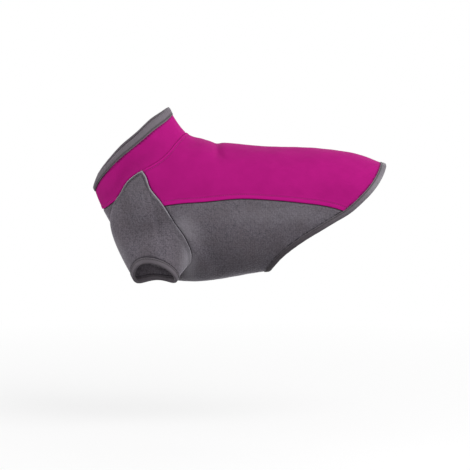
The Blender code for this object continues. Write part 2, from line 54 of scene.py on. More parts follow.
MM = 0.001
FLEECE = 2.2                # wall of the grey brushed fleece
SMOOTH_FLEECE = 2.0         # wall of the magenta fleece
TAPE_WIDTH = 9.0            # how far the tape reaches over each face of the cloth
MEAN_RADIUS = 82.0          # turns an angle round the body into millimetres on a flat sheet
MERGE = 0.02                # points this near the centre line belong to both halves

SPINE = 0.0                 # angle of the back's centre line
BELLY = math.pi             # angle of the belly's centre line

# Each section runs in a straight slanted line, seen from the side, from the spine to the belly line.
# lift moves the widest place of the section up by that share of its half height.
Section = namedtuple("Section", "top_x top_z bottom_x bottom_z half_width lift")
SECTIONS = (
    Section(-99.5, 78.5, -199.5, -37.5, 43.5, -0.14),  # past the collar's edge
    Section(-82.2, 53.8, -190.6, -61.3, 48, -0.12),    # collar's edge, at the nape and the throat
    Section(-55.8, 16, -177.4, -93.2, 59, -0.03),      # collar seam
    Section(-36.5, 7.8, -165.3, -116.9, 67, 0.05),     # shoulder line and point of the chest
    Section(0, 2, -136.3, -166.9, 75.5, 0.08),
    Section(36, -1.8, -91.4, -193, 78, 0.10),          # deepest of the chest
    Section(72, -3.2, -29, -199, 77, 0.10),
    Section(108, -4.8, 26, -189.8, 74, 0.10),
    Section(145, -6.7, 78, -182, 69, 0.08),
    Section(181, -12.2, 130, -173, 63.5, 0.06),
    Section(210, -20.9, 182, -160, 58.5, 0.04),
    Section(233.5, -29.8, 225, -146, 54, 0.02),        # top of the rear hem
)

# Knots of the edges and seams, as seen from the garment's left side.
COLLAR_EDGE = (
    (-82.2, 53.8), (-94.3, 44.5), (-108.8, 34), (-127, 16.5), (-152, -5), (-170.4, -25.5),
    (-185.4, -46), (-190.6, -61.3),
)
COLLAR_SEAM = (
    (-55.8, 16), (-69.2, 5.4), (-81, -8.2), (-100.4, -23.8), (-119, -33.5), (-142.6, -52),
    (-154.4, -72.9), (-165.3, -83.5), (-172.4, -89.8), (-177.4, -93.2),
)
TIP_KNOT = 4                # where the sleeve's tip meets the collar seam
FRONT_KNOT = 6              # where the sleeve's front seam meets the collar seam

# The sleeve's seam on the body, from its tip down the back, under the sleeve and up the front.
ARMHOLE = (
    (-119, -33.5), (-112.9, -42.9), (-109.4, -54.3), (-99.1, -68.9), (-88.4, -82), (-71.9, -108),
    (-59.8, -124.3), (-52, -138.8), (-48.5, -150.9), (-51.2, -166.2), (-68, -173), (-87, -174.5),
    (-108, -167.5), (-128, -155), (-146, -140), (-157, -121), (-162.8, -103), (-160.5, -86),
    (-154.4, -72.9),
)
SIDE_KNOT = 4               # where the side seam meets the armhole

SIDE_SEAM = (
    (-88.4, -82), (-62.4, -78.5), (-33, -76.4), (-3, -73.4), (26, -71.7), (70, -74),
    (115, -78.8), (145, -83.3), (171.5, -91.3), (179.8, -94.9),
)
HEM = (
    (233.5, -29.8), (226.2, -45.5), (210.5, -66.8), (196, -81.2), (179.8, -94.9), (164, -104.8),
    (133.4, -123.5), (106.4, -141), (84.2, -159.6), (72.8, -173.4), (65.5, -184.3),
)
HEM_SIDE_KNOT = 4           # where the side seam meets the hem

# The cuff's finished edge: an oval ring. Its outer side is pulled up by tilt and arch, less round, and the
# highest place is skewed to the front; the whole ring leans down to the rear.
CUFF_CENTRE = (-100.8, -61.0, -190.0)
CUFF_HALF_LENGTH = 30.0
CUFF_HALF_WIDTH = 23.5
CUFF_TILT = 20.0
CUFF_ARCH = 10.0
CUFF_ROUND = 6.0
CUFF_SKEW = 2.5
CUFF_LEAN = 2.5
CUFF_DROP = (0.0, -0.12, -1.0)
CUFF_TAPER = (0.6, 0.2)     # how much the sleeve draws in towards the cuff, along and across the body
CUFF_PULL = 0.55            # how long the sleeve keeps the cuff's direction

# Stations round the armhole, from the tip down the front: share of its length, place on the cuff (degrees,
# 90 outside, 180 in front), lean (0 leaves along the body's surface, 1 straight for the cuff), and fullness.
SleeveStation = namedtuple("SleeveStation", "share cuff_angle lean fullness")
SLEEVE_STATIONS = (
    SleeveStation(0.000, 90, 0, 0.90),
    SleeveStation(0.128, 140, 2.5, 1.00),
    SleeveStation(0.214, 180, 8.2, 0.80),
    SleeveStation(0.323, 225, 2.6, 0.45),
    SleeveStation(0.432, 275, 0.9, 0.50),
    SleeveStation(0.544, 325, 0.9, 0.50),
    SleeveStation(0.650, 360, 0.5, 0.80),
    SleeveStation(0.853, 410, 0.1, 0.90),
    SleeveStation(1.000, 450, 0, 0.90),
)

# ---------------------------------------------------------------- folds

# Soft folds, as seen from the left: middle, heading in degrees up from +X, how far the fold reaches either
# way along and across, its height, below zero for a trough, and its side: 1 left, -1 right, 0 both.
Fold = namedtuple("Fold", "x z heading length width height side", defaults=(0,))
BODY_FOLDS = (
    Fold(-11, -2, -80, 17, 6.5, -2.8),      # crease behind the shoulder line
    Fold(-34, 6, -75, 14, 8, 0.9),          # rise before it
    Fold(-143, -43, 51, 30, 9, -2),         # hollow along the collar's side
    Fold(-164, -60, 55, 18, 7, 0.9),
    Fold(-134, -24, 44, 38, 9, -1),         # the hollow runs out towards the nape
    Fold(-50, -140, -62, 34, 14, 3.4),      # the seam stands out at the rear corner
    Fold(-24, -142, -74, 32, 12, -2.2),     # hollow behind it
    Fold(20, -140, -60, 36, 20, 0.9),
    Fold(-52, -104, -60, 26, 14, 1),        # fullness behind the shoulder
    Fold(-5, -11, -50, 9, 2.2, -0.9, 1),    # sharp end of the shoulder crease
    Fold(-2, -14, -62, 10, 2.4, -0.8, -1),
    Fold(-73, 29, -59, 14, 1.8, 0.6),       # line beside the nape
    Fold(-40, -128, -56, 24, 6, -0.7, 1),   # drag lines from the underarm
    Fold(-26, -134, -50, 28, 6.5, 0.5, 1),
    Fold(-36, -131, -48, 26, 6, -0.8, -1),
    Fold(-20, -122, -44, 30, 7, 0.5, -1),
    Fold(104, -116, -35, 30, 9, -0.6),      # pull of the rear tape
    Fold(84, -133, -42, 26, 8, 0.5, 1),
    Fold(92, -127, -38, 28, 8, 0.6, -1),
    Fold(196, -60, 52, 20, 7, -0.5),        # ease above the rear corner
    Fold(118, -40, 8, 46, 12, -0.5, 1),     # slack along the flank
    Fold(96, -46, 12, 40, 11, -0.5, -1),
    Fold(-120, -10, 45, 26, 6, 0.5, 1),     # soft roll under the collar's tape
    Fold(-118, -14, 47, 24, 6, 0.5, -1),
)
SIDE_FADE = 14.0            # a fold of one side fades out this near the centre line

SLEEVE_FOLDS = (
    Fold(-108, -126, 18, 38, 13, -3.2),        # hollow across the upper arm
    Fold(-97, -154, 20, 32, 11, 1.6),          # roll above the cuff
    Fold(-94, -108, 30, 18, 6.5, -1.4),        # deeper crease towards the rear seam
    Fold(-80, -140, -52, 22, 9, 1.6),          # fullness of the lower rear corner
    Fold(-128, -148, -60, 20, 8, 1.4),         # and of the lower front
    Fold(-133, -108, -66, 24, 9, -0.3),        # front of the shoulder
    Fold(-76, -146, 62, 16, 4.5, -0.8, 1),     # creases at the rear corner
    Fold(-84, -158, 55, 14, 4, 0.6, 1),
    Fold(-80, -150, 66, 17, 5, -0.8, -1),
    Fold(-124, -146, -72, 16, 5, -0.6, 1),
    Fold(-120, -150, -66, 18, 5.5, -0.6, -1),
    Fold(-112, -72, -58, 20, 6, 0.6),
)

# Uneven lie of the whole cloth: wavelength, heading in degrees, turn across the body, and height.
Ripple = namedtuple("Ripple", "length heading across height")
RIPPLES = (
    Ripple(83, 20, 0.6, 0.26),
    Ripple(57, -52, -0.8, 0.22),
    Ripple(38, 74, 1.1, 0.14),
    Ripple(27, -18, -1.3, 0.09),
    Ripple(17, 47, 0.9, 0.05),
)

# Painted light and painted shade in patches, laid out like the folds, with how much lighter they are, or
# darker below zero, for a height.
CLOTH_PAINTED_LIGHT_AND_SHADE = (
    Fold(-57, -113, -44, 26, 15, 0.40),   # painted light behind the rear seam
    Fold(-50, -156, -64, 20, 7, 0.44),
    Fold(-53, -177, -84, 24, 10, 0.66),   # painted light over the rear corner
    Fold(-20, -180, 30, 24, 11, 0.12),
    Fold(-151, -154, -69, 30, 9, 0.36),   # painted light on the front of the arm
    Fold(-108, -166, 4, 34, 9, 0.14),     # painted light above the cuff
    Fold(-112, -106, 20, 42, 19, -0.23),  # painted shade on the upper arm
    Fold(-141, -88, -72, 26, 12, -0.17),
    Fold(-96, -158, -34, 26, 9, -0.11),   # painted shade behind the cuff
    Fold(-88, -106, 34, 20, 8, -0.12),
    Fold(74, -97, 0, 84, 13, 0.17),       # painted light below the side seam
    Fold(14, -171, 12, 30, 13, -0.13),    # painted shade on the belly
    Fold(-10, -152, 30, 26, 12, -0.08),
    Fold(-137, -38, 43, 54, 10, -0.15),   # painted shade in the hollow of the collar
)
# Painted light and painted shade on the tapes, laid out like the folds.
TAPE_PAINTED_LIGHT_AND_SHADE = (
    Fold(104, -146, 34, 78, 22, -0.55),  # painted shade along the slant of the hem
    Fold(218, -52, 58, 26, 22, 0.30),    # painted light at its top
    Fold(-100, -168, 0, 44, 24, -0.18),  # painted shade at the cuffs
)

# ---------------------------------------------------------------- sewing

# How an edge is sewn. A lapped edge is folded, stands rim high over its neighbour and is topstitched at
# stitch from the fold; the folded layer ends at width, and the next to last field is the reach of the painted
# highlight on its fold. A tucked edge has no rim: it dips by drop and runs on under its neighbour as the seam
# allowance. lap is how far the cloth reaches over the seam line; the last field is how dark the painted shade
# in its stitch line or its depth is.
Sewn = namedtuple("Sewn", "lap drop rim width stitch glow dark")
SIDE_LAP = Sewn(0.5, 0.5, 0.9, 7.0, 6.0, 6.0, 0.45)
NECK_LAP = Sewn(0.5, 0.5, 0.6, 4.4, 3.6, 1.6, 0.3)
SLEEVE_LAP = Sewn(0.5, 0.5, 0.9, 4.2, 3.2, 1.0, 0.45)
TUCKED = Sewn(3.2, 1.4, 0.0, 2.2, None, None, 1.0)
NECK_TUCK = Sewn(3.2, 1.0, 0.0, 1.8, None, None, 0.35)
TAPED = Sewn(-2.0, 0.0, 0.0, 0.0, None, None, 1.0)

# The sleeve's folded edge by share of its seam, from the tip down the front: how strong its painted
# highlight is, and how strong the painted shade in its stitch line is.
SleeveEdge = namedtuple("SleeveEdge", "share light pull")
SLEEVE_EDGE = (
    SleeveEdge(0.00, 1, 1.7), SleeveEdge(0.02, 1, 2.2), SleeveEdge(0.07, 1, 2.1),
    SleeveEdge(0.10, 0.8, 0.7), SleeveEdge(0.20, 0.4, 0.4), SleeveEdge(0.50, 0.4, 0.4),
    SleeveEdge(0.56, 1, 0.2), SleeveEdge(0.65, 1, 0.1), SleeveEdge(0.68, 0, 0.3),
    SleeveEdge(0.79, 0, 0.5), SleeveEdge(0.83, 0.8, 0.4), SleeveEdge(0.95, 1, 0.3),
    SleeveEdge(1.00, 1, 1.7),
)
# Under the sleeve, below these heights, the body's seam shows less and less of its painted shade.
SLACK = (-162.0, -146.0)
FOLD_ROUND = 1.1            # radius of a folded edge
STITCH_DIP = 0.45           # how deep the stitches pull the cloth
STITCH_SPREAD = 0.7
RIM_FADE = 1.2              # how softly the folded layer ends
SEAM_SHADE = (0.6, 1.9)     # the painted shade of a tucked edge fades between these depths
TAPE_SHADE = (0.3, 1.2)     # the painted shadow beside a tape: its middle past the selvedge, and its reach
PULL_SHADE = 0.8            # reach of the painted shade where stitches pull
HIGHLIGHT_FADE = 0.8             # how softly the painted highlight on a fold ends

EDGE_ROWS = (0.35, 0.8, 1.4, 2.3, 3.2, 4.0, 5.2, 6.0, 6.9, 8.2)
ALLOWANCE_ROWS = (-1.6, -0.1)
SEAM_STEP = 2.0             # points along a seam
CELL = 2.8                  # points inside a panel
ROW_SLACK = (0.07, 0.02)    # a row's point may be this share, and this far, too near to another edge
SAME_POINT = 1e-4           # flat points nearer than this are one
INSIDE_ONLY = 1             # the triangulation keeps what lies inside the outline
FINE_STATIONS = 600         # steps in which a place on the form is searched
FINE_SEAM = 800             # steps in which a seam is measured
PAST_HEM = 3.5              # the form runs on this far

Stitching = namedtuple("Stitching", "pitch length thread")
TOPSTITCH = Stitching(3.0, 2.3, 0.42)
TAPE_STITCH = Stitching(2.6, 1.9, 0.38)

TAPE = 0.8                  # wall of the tape
TAPE_RISE = 1.25            # its outer face over the cloth
TAPE_STITCH_DEPTH = TAPE_WIDTH - 1.6
TAPE_STITCH_HEIGHT = 0.8    # its outer face where the stitches pull it in
TAPE_STITCH_PULL = 0.7      # reach of the painted shade in its stitch line
THREAD_RISE = 0.3           # share of the thread's width by which its middle lies over the cloth

# Slight uneven height of a tape along its length, where the stitches draw it in.
Scallop = namedtuple("Scallop", "height length")
SCALLOPS = (Scallop(0.10, 13.0), Scallop(0.06, 7.3))

# The collar's tape is folded unevenly: how much further it reaches over the outer face, throat to nape.
TapeReach = namedtuple("TapeReach", "x extra")
COLLAR_TAPE_REACH = (
    TapeReach(-190.6, -1.8), TapeReach(-184, -1.2), TapeReach(-170, -0.9), TapeReach(-160, 0.2),
    TapeReach(-148, 1.4), TapeReach(-128, 1.6), TapeReach(-118, 2.6), TapeReach(-107, 3.8),
    TapeReach(-94, 4), TapeReach(-82, 3.4), TapeReach(-60, 0),
)


# ---------------------------------------------------------------- curves

class Spline:
    """Natural cubic curve through rows of values at rising stations."""

    def __init__(self, stations, rows):
        self.stations = np.asarray(stations, float)
        self.rows = np.asarray(rows, float)
        count = len(self.stations)
        step = np.diff(self.stations)
        slope = np.diff(self.rows, axis=0) / step[:, None]
        matrix = np.eye(count)
        right = np.zeros_like(self.rows)
        for i in range(1, count - 1):
            matrix[i, i - 1:i + 2] = step[i - 1], 2.0 * (step[i - 1] + step[i]), step[i]
            right[i] = 6.0 * (slope[i] - slope[i - 1])
        self.bend = np.linalg.solve(matrix, right)

    def __call__(self, at):
        at = np.asarray(at, float)
        i = np.clip(np.searchsorted(self.stations, at) - 1, 0, len(self.stations) - 2)
        step = (self.stations[i + 1] - self.stations[i])[..., None]
        after = (at - self.stations[i])[..., None] / step
        before = 1.0 - after
        curved = (before ** 3 - before) * self.bend[i] + (after ** 3 - after) * self.bend[i + 1]
        return before * self.rows[i] + after * self.rows[i + 1] + curved * step ** 2 / 6.0


def running_length(points):
    """Distance along a polyline at each of its points."""
    steps = np.linalg.norm(np.diff(points, axis=0), axis=1)
    return np.concatenate([[0.0], np.cumsum(steps)])


def rows_at(rows, length, at):
    """Rows of values at distances along a run."""
    return np.stack([np.interp(at, length, column) for column in rows.T], axis=-1)


def closed(rows):
    """The rows of a ring with the first one again at the end."""
    return np.concatenate([rows, rows[:1]])


def unit(vectors):
    """Vectors scaled to length one."""
    return vectors / np.linalg.norm(vectors, axis=-1, keepdims=True)


def smooth_step(low, high, values):
    """0 below low, 1 above high, and a soft rise between."""
    share = np.clip((values - low) / (high - low), 0.0, 1.0)
    return share * share * (3.0 - 2.0 * share)


# ---------------------------------------------------------------- the body's form

def section_spline():
    """Sections as one curve of values, at stations measured along the middle of the body."""
    rows = np.array(SECTIONS)
    middles = (rows[:, 0:2] + rows[:, 2:4]) / 2.0
    return Spline(running_length(middles), rows)


BODY = section_spline()


def smooth_form(ua):
    """The body without folds at pairs of station and angle; the left side has angles from 0 to pi."""
    values = BODY(ua[..., 0])
    top, bottom = values[..., 0:2], values[..., 2:4]
    half_width, lift = values[..., 4], values[..., 5]
    cosine, sine = np.cos(ua[..., 1]), np.sin(ua[..., 1])
    along = cosine + lift * sine ** 2
    side_view = (top + bottom) / 2.0 + (top - bottom) / 2.0 * along[..., None]
    return np.stack([side_view[..., 0], -half_width * sine, side_view[..., 1]], axis=-1)


HALF_STEP = 0.5             # millimetres of station, or of a path, to either side of a place
HALF_TURN = 0.005           # radians to either side


def slopes(surface, ua):
    """Change of a surface per millimetre of station and per radian."""
    by_station = np.array([HALF_STEP, 0.0])
    by_angle = np.array([0.0, HALF_TURN])
    along_u = (surface(ua + by_station) - surface(ua - by_station)) / (2.0 * HALF_STEP)
    along_a = (surface(ua + by_angle) - surface(ua - by_angle)) / (2.0 * HALF_TURN)
    return along_u, along_a


def relief(points, folds):
    """Height of the folds at points of the form."""
    height = np.zeros(points.shape[:-1])
    for fold in folds:
        across_x, across_z = points[..., 0] - fold.x, points[..., 2] - fold.z
        cosine, sine = math.cos(math.radians(fold.heading)), math.sin(math.radians(fold.heading))
        along = (across_x * cosine + across_z * sine) / fold.length
        across = (across_z * cosine - across_x * sine) / fold.width
        bump = fold.height * np.exp(-along ** 2 - across ** 2)
        if fold.side:
            bump = bump * smooth_step(0.0, SIDE_FADE, -points[..., 1] * fold.side)
        height += bump
    return height[..., None]


def painted_light_and_shade(points, patches):
    """How much painted light and how much painted shade lie at points of the cloth."""
    nap = relief(points, patches)[..., 0]
    return np.maximum(nap, 0.0), np.maximum(-nap, 0.0)


def ripples(points):
    """Height of the uneven lie of the cloth."""
    height = np.zeros(points.shape[:-1])
    for ripple in RIPPLES:
        heading = math.radians(ripple.heading)
        way = points @ np.array([math.cos(heading), ripple.across, math.sin(heading)])
        height += ripple.height * np.sin(way * 2.0 * math.pi / ripple.length)
    return height[..., None]


def form(ua):
    """Outer face of the body cloth at pairs of station and angle."""
    points = smooth_form(ua)
    along_u, along_a = slopes(smooth_form, ua)
    return points + unit(np.cross(along_a, along_u)) * (relief(points, BODY_FOLDS) + ripples(points))


def form_normal(ua):
    """Unit normal of the form, pointing out of the body."""
    along_u, along_a = slopes(form, ua)
    return unit(np.cross(along_a, along_u))


def walk(ua, offset):
    """Stations and angles reached by moving along the form by a short offset in space."""
    along_u, along_a = slopes(form, ua)
    uu = (along_u * along_u).sum(-1)
    aa = (along_a * along_a).sum(-1)
    mixed = (along_u * along_a).sum(-1)
    to_u = (along_u * offset).sum(-1)
    to_a = (along_a * offset).sum(-1)
    scale = uu * aa - mixed ** 2
    change = np.stack([(aa * to_u - mixed * to_a) / scale, (uu * to_a - mixed * to_u) / scale], axis=-1)
    return ua + change


def seen_from_left(x, z):
    """Station and angle of the place on the form that shows at x, z from the left side."""
    stations = np.linspace(BODY.stations[0], BODY.stations[-1] + PAST_HEM, FINE_STATIONS)
    values = BODY(stations)
    axis = values[:, 0:2] - values[:, 2:4]
    side = axis[:, 0] * (z - values[:, 3]) - axis[:, 1] * (x - values[:, 2])
    crossing = np.nonzero(side[:-1] * side[1:] <= 0.0)[0][0]
    low, high = stations[crossing], stations[crossing + 1]
    station = low + (high - low) * side[crossing] / (side[crossing] - side[crossing + 1])
    values = BODY(station)
    middle = (values[0:2] + values[2:4]) / 2.0
    half = (values[0:2] - values[2:4]) / 2.0
    along = np.clip(np.dot([x, z] - middle, half) / np.dot(half, half), -1.0, 1.0)
    above = along - values[5]
    cosine = 2.0 * above / (1.0 + math.sqrt(1.0 - 4.0 * values[5] * above))
    return station, math.acos(max(-1.0, min(1.0, cosine)))


# ---------------------------------------------------------------- seams

class Seam:
    """Smooth curve on the form through side-view knots; a fold end meets its centre line squarely."""

    def __init__(self, knots, start_fold=None, end_fold=None):
        ua = np.array([seen_from_left(x, z) for x, z in knots])
        before, after = [], []
        if start_fold is not None:
            ua[0, 1] = start_fold
            before = [mirrored_pair(ua[1], start_fold)]
        if end_fold is not None:
            ua[-1, 1] = end_fold
            after = [mirrored_pair(ua[-2], end_fold)]
        all_knots = np.array(before + list(ua) + after)
        stations = running_length(form(all_knots))
        self.curve = Spline(stations, all_knots)
        self.knots = stations[len(before):len(before) + len(ua)]

    def points(self, first, last):
        """Stations and angles from one knot to another, a seam step apart."""
        fine = np.linspace(self.knots[first], self.knots[last], FINE_SEAM)
        length = running_length(form(self.curve(fine)))
        steps = max(3, round(length[-1] / SEAM_STEP))
        even = np.interp(np.linspace(0.0, length[-1], steps + 1), length, fine)
        return self.curve(even)


def mirrored_pair(pair, fold):
    """The same place on the other side of a centre line."""
    return np.array([pair[0], 2.0 * fold - pair[1]])


def fold_line(start, end, angle):
    """Points along a centre line between two stations."""
    steps = max(2, int(round(abs(end - start) / CELL)))
    stations = np.linspace(start, end, steps + 1)
    return np.stack([stations, np.full(steps + 1, angle)], axis=-1)


def towards_inside(ua):
    """Unit vectors in the form's surface, to the left of the way along a run of points."""
    heading = np.gradient(form(ua), axis=0)
    return unit(np.cross(form_normal(ua), heading))


def moved_in(ua, depth):
    """A run of points moved in along the form by a depth, in two walks."""
    inward = towards_inside(ua) * depth / 2.0
    return walk(walk(ua, inward), inward)


def distance_to_run(points, run):
    """Shortest distance from each point in space to a polyline."""
    nearest = np.full(len(points), np.inf)
    for start, end in zip(run[:-1], run[1:]):
        side = end - start
        share = np.clip(((points - start) @ side) / (side @ side), 0.0, 1.0)
        nearest = np.minimum(nearest, np.linalg.norm(points - start - share[:, None] * side, axis=1))
    return nearest


def sewn_height(depth, sewn):
    """Height of the cloth over the form at a depth in from a sewn edge, below zero past its seam line."""
    if not sewn.rim:
        return -sewn.drop * np.exp(-(np.maximum(depth, 0.0) / max(sewn.width, 0.1)) ** 2)
    out = np.clip((depth + sewn.lap) / FOLD_ROUND, 0.0, 1.0)
    folded = np.sqrt(1.0 - (1.0 - out) ** 2)
    rim = sewn.rim * (1.0 - smooth_step(sewn.stitch, sewn.width + RIM_FADE, depth))
    dip = STITCH_DIP * np.exp(-((depth - sewn.stitch) / STITCH_SPREAD) ** 2)
    return folded * rim - (1.0 - folded) * sewn.drop - dip


def tape_reach(points):
    """How much further than its width a tape reaches over the outer face, at points beside it."""
    at, extra = np.array(COLLAR_TAPE_REACH).T
    return np.interp(points[..., 0], at, extra)


def painted_edge_shade(depth, sewn):
    """How much painted shade an edge has, 1 in the depth of its seam and less where the stitches pull."""
    if sewn is TAPED:
        return sewn.dark * np.exp(-((depth - TAPE_WIDTH - TAPE_SHADE[0]) / TAPE_SHADE[1]) ** 2)
    if not sewn.rim:
        return sewn.dark * (1.0 - smooth_step(*SEAM_SHADE, depth))
    return sewn.dark * np.exp(-((depth - sewn.stitch) / PULL_SHADE) ** 2)


def edge_light(depth, sewn):
    """How much painted highlight an edge has, on the fold of a lapped seam."""
    if not sewn.rim:
        return np.zeros_like(depth)
    return 1.0 - smooth_step(sewn.glow - HIGHLIGHT_FADE, sewn.glow + HIGHLIGHT_FADE, depth)


# ---------------------------------------------------------------- panels

Edge = namedtuple("Edge", "points sewn")


def corner_offset(inward_before, depth_before, inward_after, depth_after):
    """Move of a corner that brings it in by one depth from each of its two edges."""
    cosine = float(np.dot(inward_before, inward_after))
    if cosine > 0.98:
        return inward_after * depth_after
    weights = np.linalg.solve([[1.0, cosine], [cosine, 1.0]], [depth_before, depth_after])
    return weights[0] * inward_before + weights[1] * inward_after


def cut_depth(edge):
    """How far inside its seam line an edge is cut; a lapped one reaches over the line."""
    return -edge.sewn.lap if edge.sewn else 0.0


def panel_outline(edges):
    """One closed run of stations and angles round a panel's cut."""
    outline = []
    for index, edge in enumerate(edges):
        previous = edges[index - 1]
        inward = towards_inside(edge.points)
        depth = cut_depth(edge)
        offset = corner_offset(towards_inside(previous.points)[-1], cut_depth(previous), inward[0], depth)
        outline.append(walk(edge.points[:1], offset[None, :]))
        outline.append(walk(edge.points[1:-1], inward[1:-1] * depth))
    return np.concatenate(outline)


def flat(ua):
    """The form's stations and angles as millimetres on a flat sheet."""
    return np.stack([ua[..., 0], ua[..., 1] * MEAN_RADIUS], axis=-1)


def inside_outline(points, outline):
    """Which flat points lie inside a closed outline."""
    inside = np.zeros(len(points), bool)
    for (x0, y0), (x1, y1) in zip(outline, np.roll(outline, -1, axis=0)):
        if y0 == y1:
            continue
        spans = (points[:, 1] < y0) != (points[:, 1] < y1)
        crossing = x0 + (points[:, 1] - y0) * (x1 - x0) / (y1 - y0)
        inside ^= spans & (points[:, 0] < crossing)
    return inside


def staggered_points(outline):
    """Evenly staggered flat points over the outline's box."""
    low, high = outline.min(axis=0), outline.max(axis=0)
    rise = CELL * math.sqrt(0.75)
    points = []
    for row in range(int((high[1] - low[1]) / rise) + 1):
        xs = np.arange(low[0] + CELL / 2.0 * (row % 2), high[0], CELL)
        points.append(np.stack([xs, np.full(len(xs), low[1] + row * rise)], axis=-1))
    return np.concatenate(points)


def as_ua(sheet):
    """Flat points back as stations and angles."""
    return np.stack([sheet[:, 0], sheet[:, 1] / MEAN_RADIUS], axis=-1)


def depths_from(ua, edges):
    """Depth of each place in from each sewn edge, below zero past the nearest, and the smallest depth."""
    here = form(ua)
    each = np.array([distance_to_run(here, form(edge.points)) for edge in edges if edge.sewn])
    seam_line = flat(np.concatenate([edge.points[:-1] for edge in edges]))
    nearest = each.argmin(axis=0)
    past = np.where(inside_outline(flat(ua), seam_line), 1.0, -1.0)
    each[nearest, np.arange(len(ua))] *= past
    return each, each.min(axis=0)


def panel_grid(edges):
    """Stations, angles and triangles of a panel, with rows of points that follow its sewn edges."""
    border = flat(panel_outline(edges))
    rows = []
    for depth in ALLOWANCE_ROWS + EDGE_ROWS:
        for edge in edges:
            if edge.sewn:
                row = moved_in(edge.points, depth)
                nearest = depths_from(row, edges)[1]
                rows.append(flat(row[nearest > depth - abs(depth) * ROW_SLACK[0] - ROW_SLACK[1]]))
    rows = np.concatenate(rows)
    rows = rows[inside_outline(rows, border)]
    filling = staggered_points(border)
    filling = filling[inside_outline(filling, border)]
    filling = filling[depths_from(as_ua(filling), edges)[1] > EDGE_ROWS[-1] + CELL * 0.5]
    points = np.concatenate([border, rows, filling])
    loop = [(i, (i + 1) % len(border)) for i in range(len(border))]
    result = delaunay_2d_cdt([tuple(p) for p in points], loop, [], INSIDE_ONLY, SAME_POINT)
    return as_ua(np.array([tuple(p) for p in result[0]])), result[2]


def sewn_surface(ua, edges):
    """Height, painted shade and painted light of the cloth at each place of a panel."""
    sewn = [edge.sewn for edge in edges if edge.sewn]
    depths = list(depths_from(ua, edges)[0])
    heights = np.array([sewn_height(depth, how) for depth, how in zip(depths, sewn)])
    height = np.maximum(heights, 0.0).max(axis=0) + np.minimum(heights, 0.0).min(axis=0)
    here = form(ua)
    # painted shade beside each edge, fading out under the sleeve; painted light on folded edges and in
    # patches
    seam_shade_share = smooth_step(*SLACK, here[:, 2])
    shades = []
    for depth, how in zip(depths, sewn):
        shown = painted_edge_shade(depth - tape_reach(here) if how is TAPED else depth, how)
        shades.append(shown * seam_shade_share if how is TUCKED else shown)
    lighter, darker = painted_light_and_shade(here, CLOTH_PAINTED_LIGHT_AND_SHADE)
    shade = np.maximum(np.max(shades, axis=0), darker)
    light = np.max([edge_light(depth, how) for depth, how in zip(depths, sewn)] + [lighter], axis=0)
    return height, shade, light


def both_halves(ua, faces):
    """Left and right half of a piece cut on the fold, as one grid; points on the centre line are shared.

    A sliver with all its points on that line would lie in both halves, and is left out.
    """
    on_centre = np.abs(np.sin(ua[:, 1])) * MEAN_RADIUS < MERGE
    right = np.where(on_centre, np.arange(len(ua)), 0)
    right[~on_centre] = len(ua) + np.arange((~on_centre).sum())
    both = np.concatenate([ua, ua[~on_centre] * (1.0, -1.0)])
    left = [face for face in faces if not on_centre[face].all()]
    return both, left + [tuple(right[i] for i in reversed(face)) for face in left], ~on_centre


def panel(name, edges, wall, finish, node):
    """One cloth panel on the form, standing for its solid."""
    ua, faces = panel_grid(edges)
    height, shade, light = sewn_surface(ua, edges)
    both, faces, off_centre = both_halves(ua, faces)
    height, shade, light = (np.concatenate([v, v[off_centre]]) for v in (height, shade, light))
    normals = form_normal(both)
    points = form(both) + normals * height[:, None]
    a, b, c = (points[[face[k] for face in faces]] for k in range(3))
    outwards = (np.cross(b - a, c - a) * normals[[face[0] for face in faces]]).sum(-1) > 0.0
    faces = [tuple(face) if out else tuple(reversed(face)) for face, out in zip(faces, outwards)]
    piece = add_piece(name, points, faces, finish, flat(both), shade, light)
    finish_piece(piece, wall, node)


# ---------------------------------------------------------------- making objects

Cut = namedtuple("Cut", "width length area held")


def add_piece(name, points, faces, finish, uv, shade, light):
    """Piece from points in millimetres, with a flat map in metres, riding on the one body."""
    mesh = bpy.data.meshes.new(name)
    mesh.from_pydata([tuple(p) for p in points * MM], [], faces)
    mesh.shade_smooth()
    mesh.materials.append(finish.material)
    loops = np.zeros(len(mesh.loops), np.int32)
    mesh.loops.foreach_get("vertex_index", loops)
    layer = mesh.uv_layers.new(name="cloth")
    layer.data.foreach_set("uv", (uv[loops] * MM).astype(np.float32).ravel())
    # painted shade and painted light, kept as point attributes for the materials
    for key, values in (("shade", shade), ("light", light)):
        attribute = mesh.attributes.new(key, "FLOAT", "POINT")
        attribute.data.foreach_set("value", np.asarray(values, np.float32))
    piece = bpy.data.objects.new(name, mesh)
    bpy.context.scene.collection.objects.link(piece)
    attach(piece, "root")
    return piece


def finish_piece(piece, wall, node):
    """The cloth gets its wall, from the outer face inwards, and stands for its solid."""
    modifier = piece.modifiers.new("Cloth", "SOLIDIFY")
    modifier.thickness = wall * MM
    modifier.offset = -1.0
    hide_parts(node)


def swept_faces(steps, around, closed_along, closed_around):
    """Quads between neighbouring sections of a swept outline."""
    faces = []
    for i in range(steps if closed_along else steps - 1):
        here, following = i * around, (i + 1) % steps * around
        for k in range(around if closed_around else around - 1):
            after = (k + 1) % around
            faces.append((here + k, here + after, following + after, following + k))
    return faces


# ---------------------------------------------------------------- binding tape

class FormEdge:
    """Finished edge on the form, on both sides of the body, and the cloth inside it."""

    turned = False

    def __init__(self, edge):
        self.edge = edge
        self.inward = towards_inside(edge)
        self.inward[0, 1] = self.inward[-1, 1] = 0.0
        self.wider = 1.0 + tape_reach(form(edge))[:, None] / TAPE_WIDTH

    def ring(self, depth, outside):
        """Points and normals of the cloth at a depth in from the edge, or at the tape's reach outside."""
        step = self.inward * depth / 2.0 * (self.wider if outside else 1.0)
        place = walk(walk(self.edge, step), step)
        place = np.concatenate([place, (place * (1.0, -1.0))[::-1][1:-1]])
        return form(place), form_normal(place)


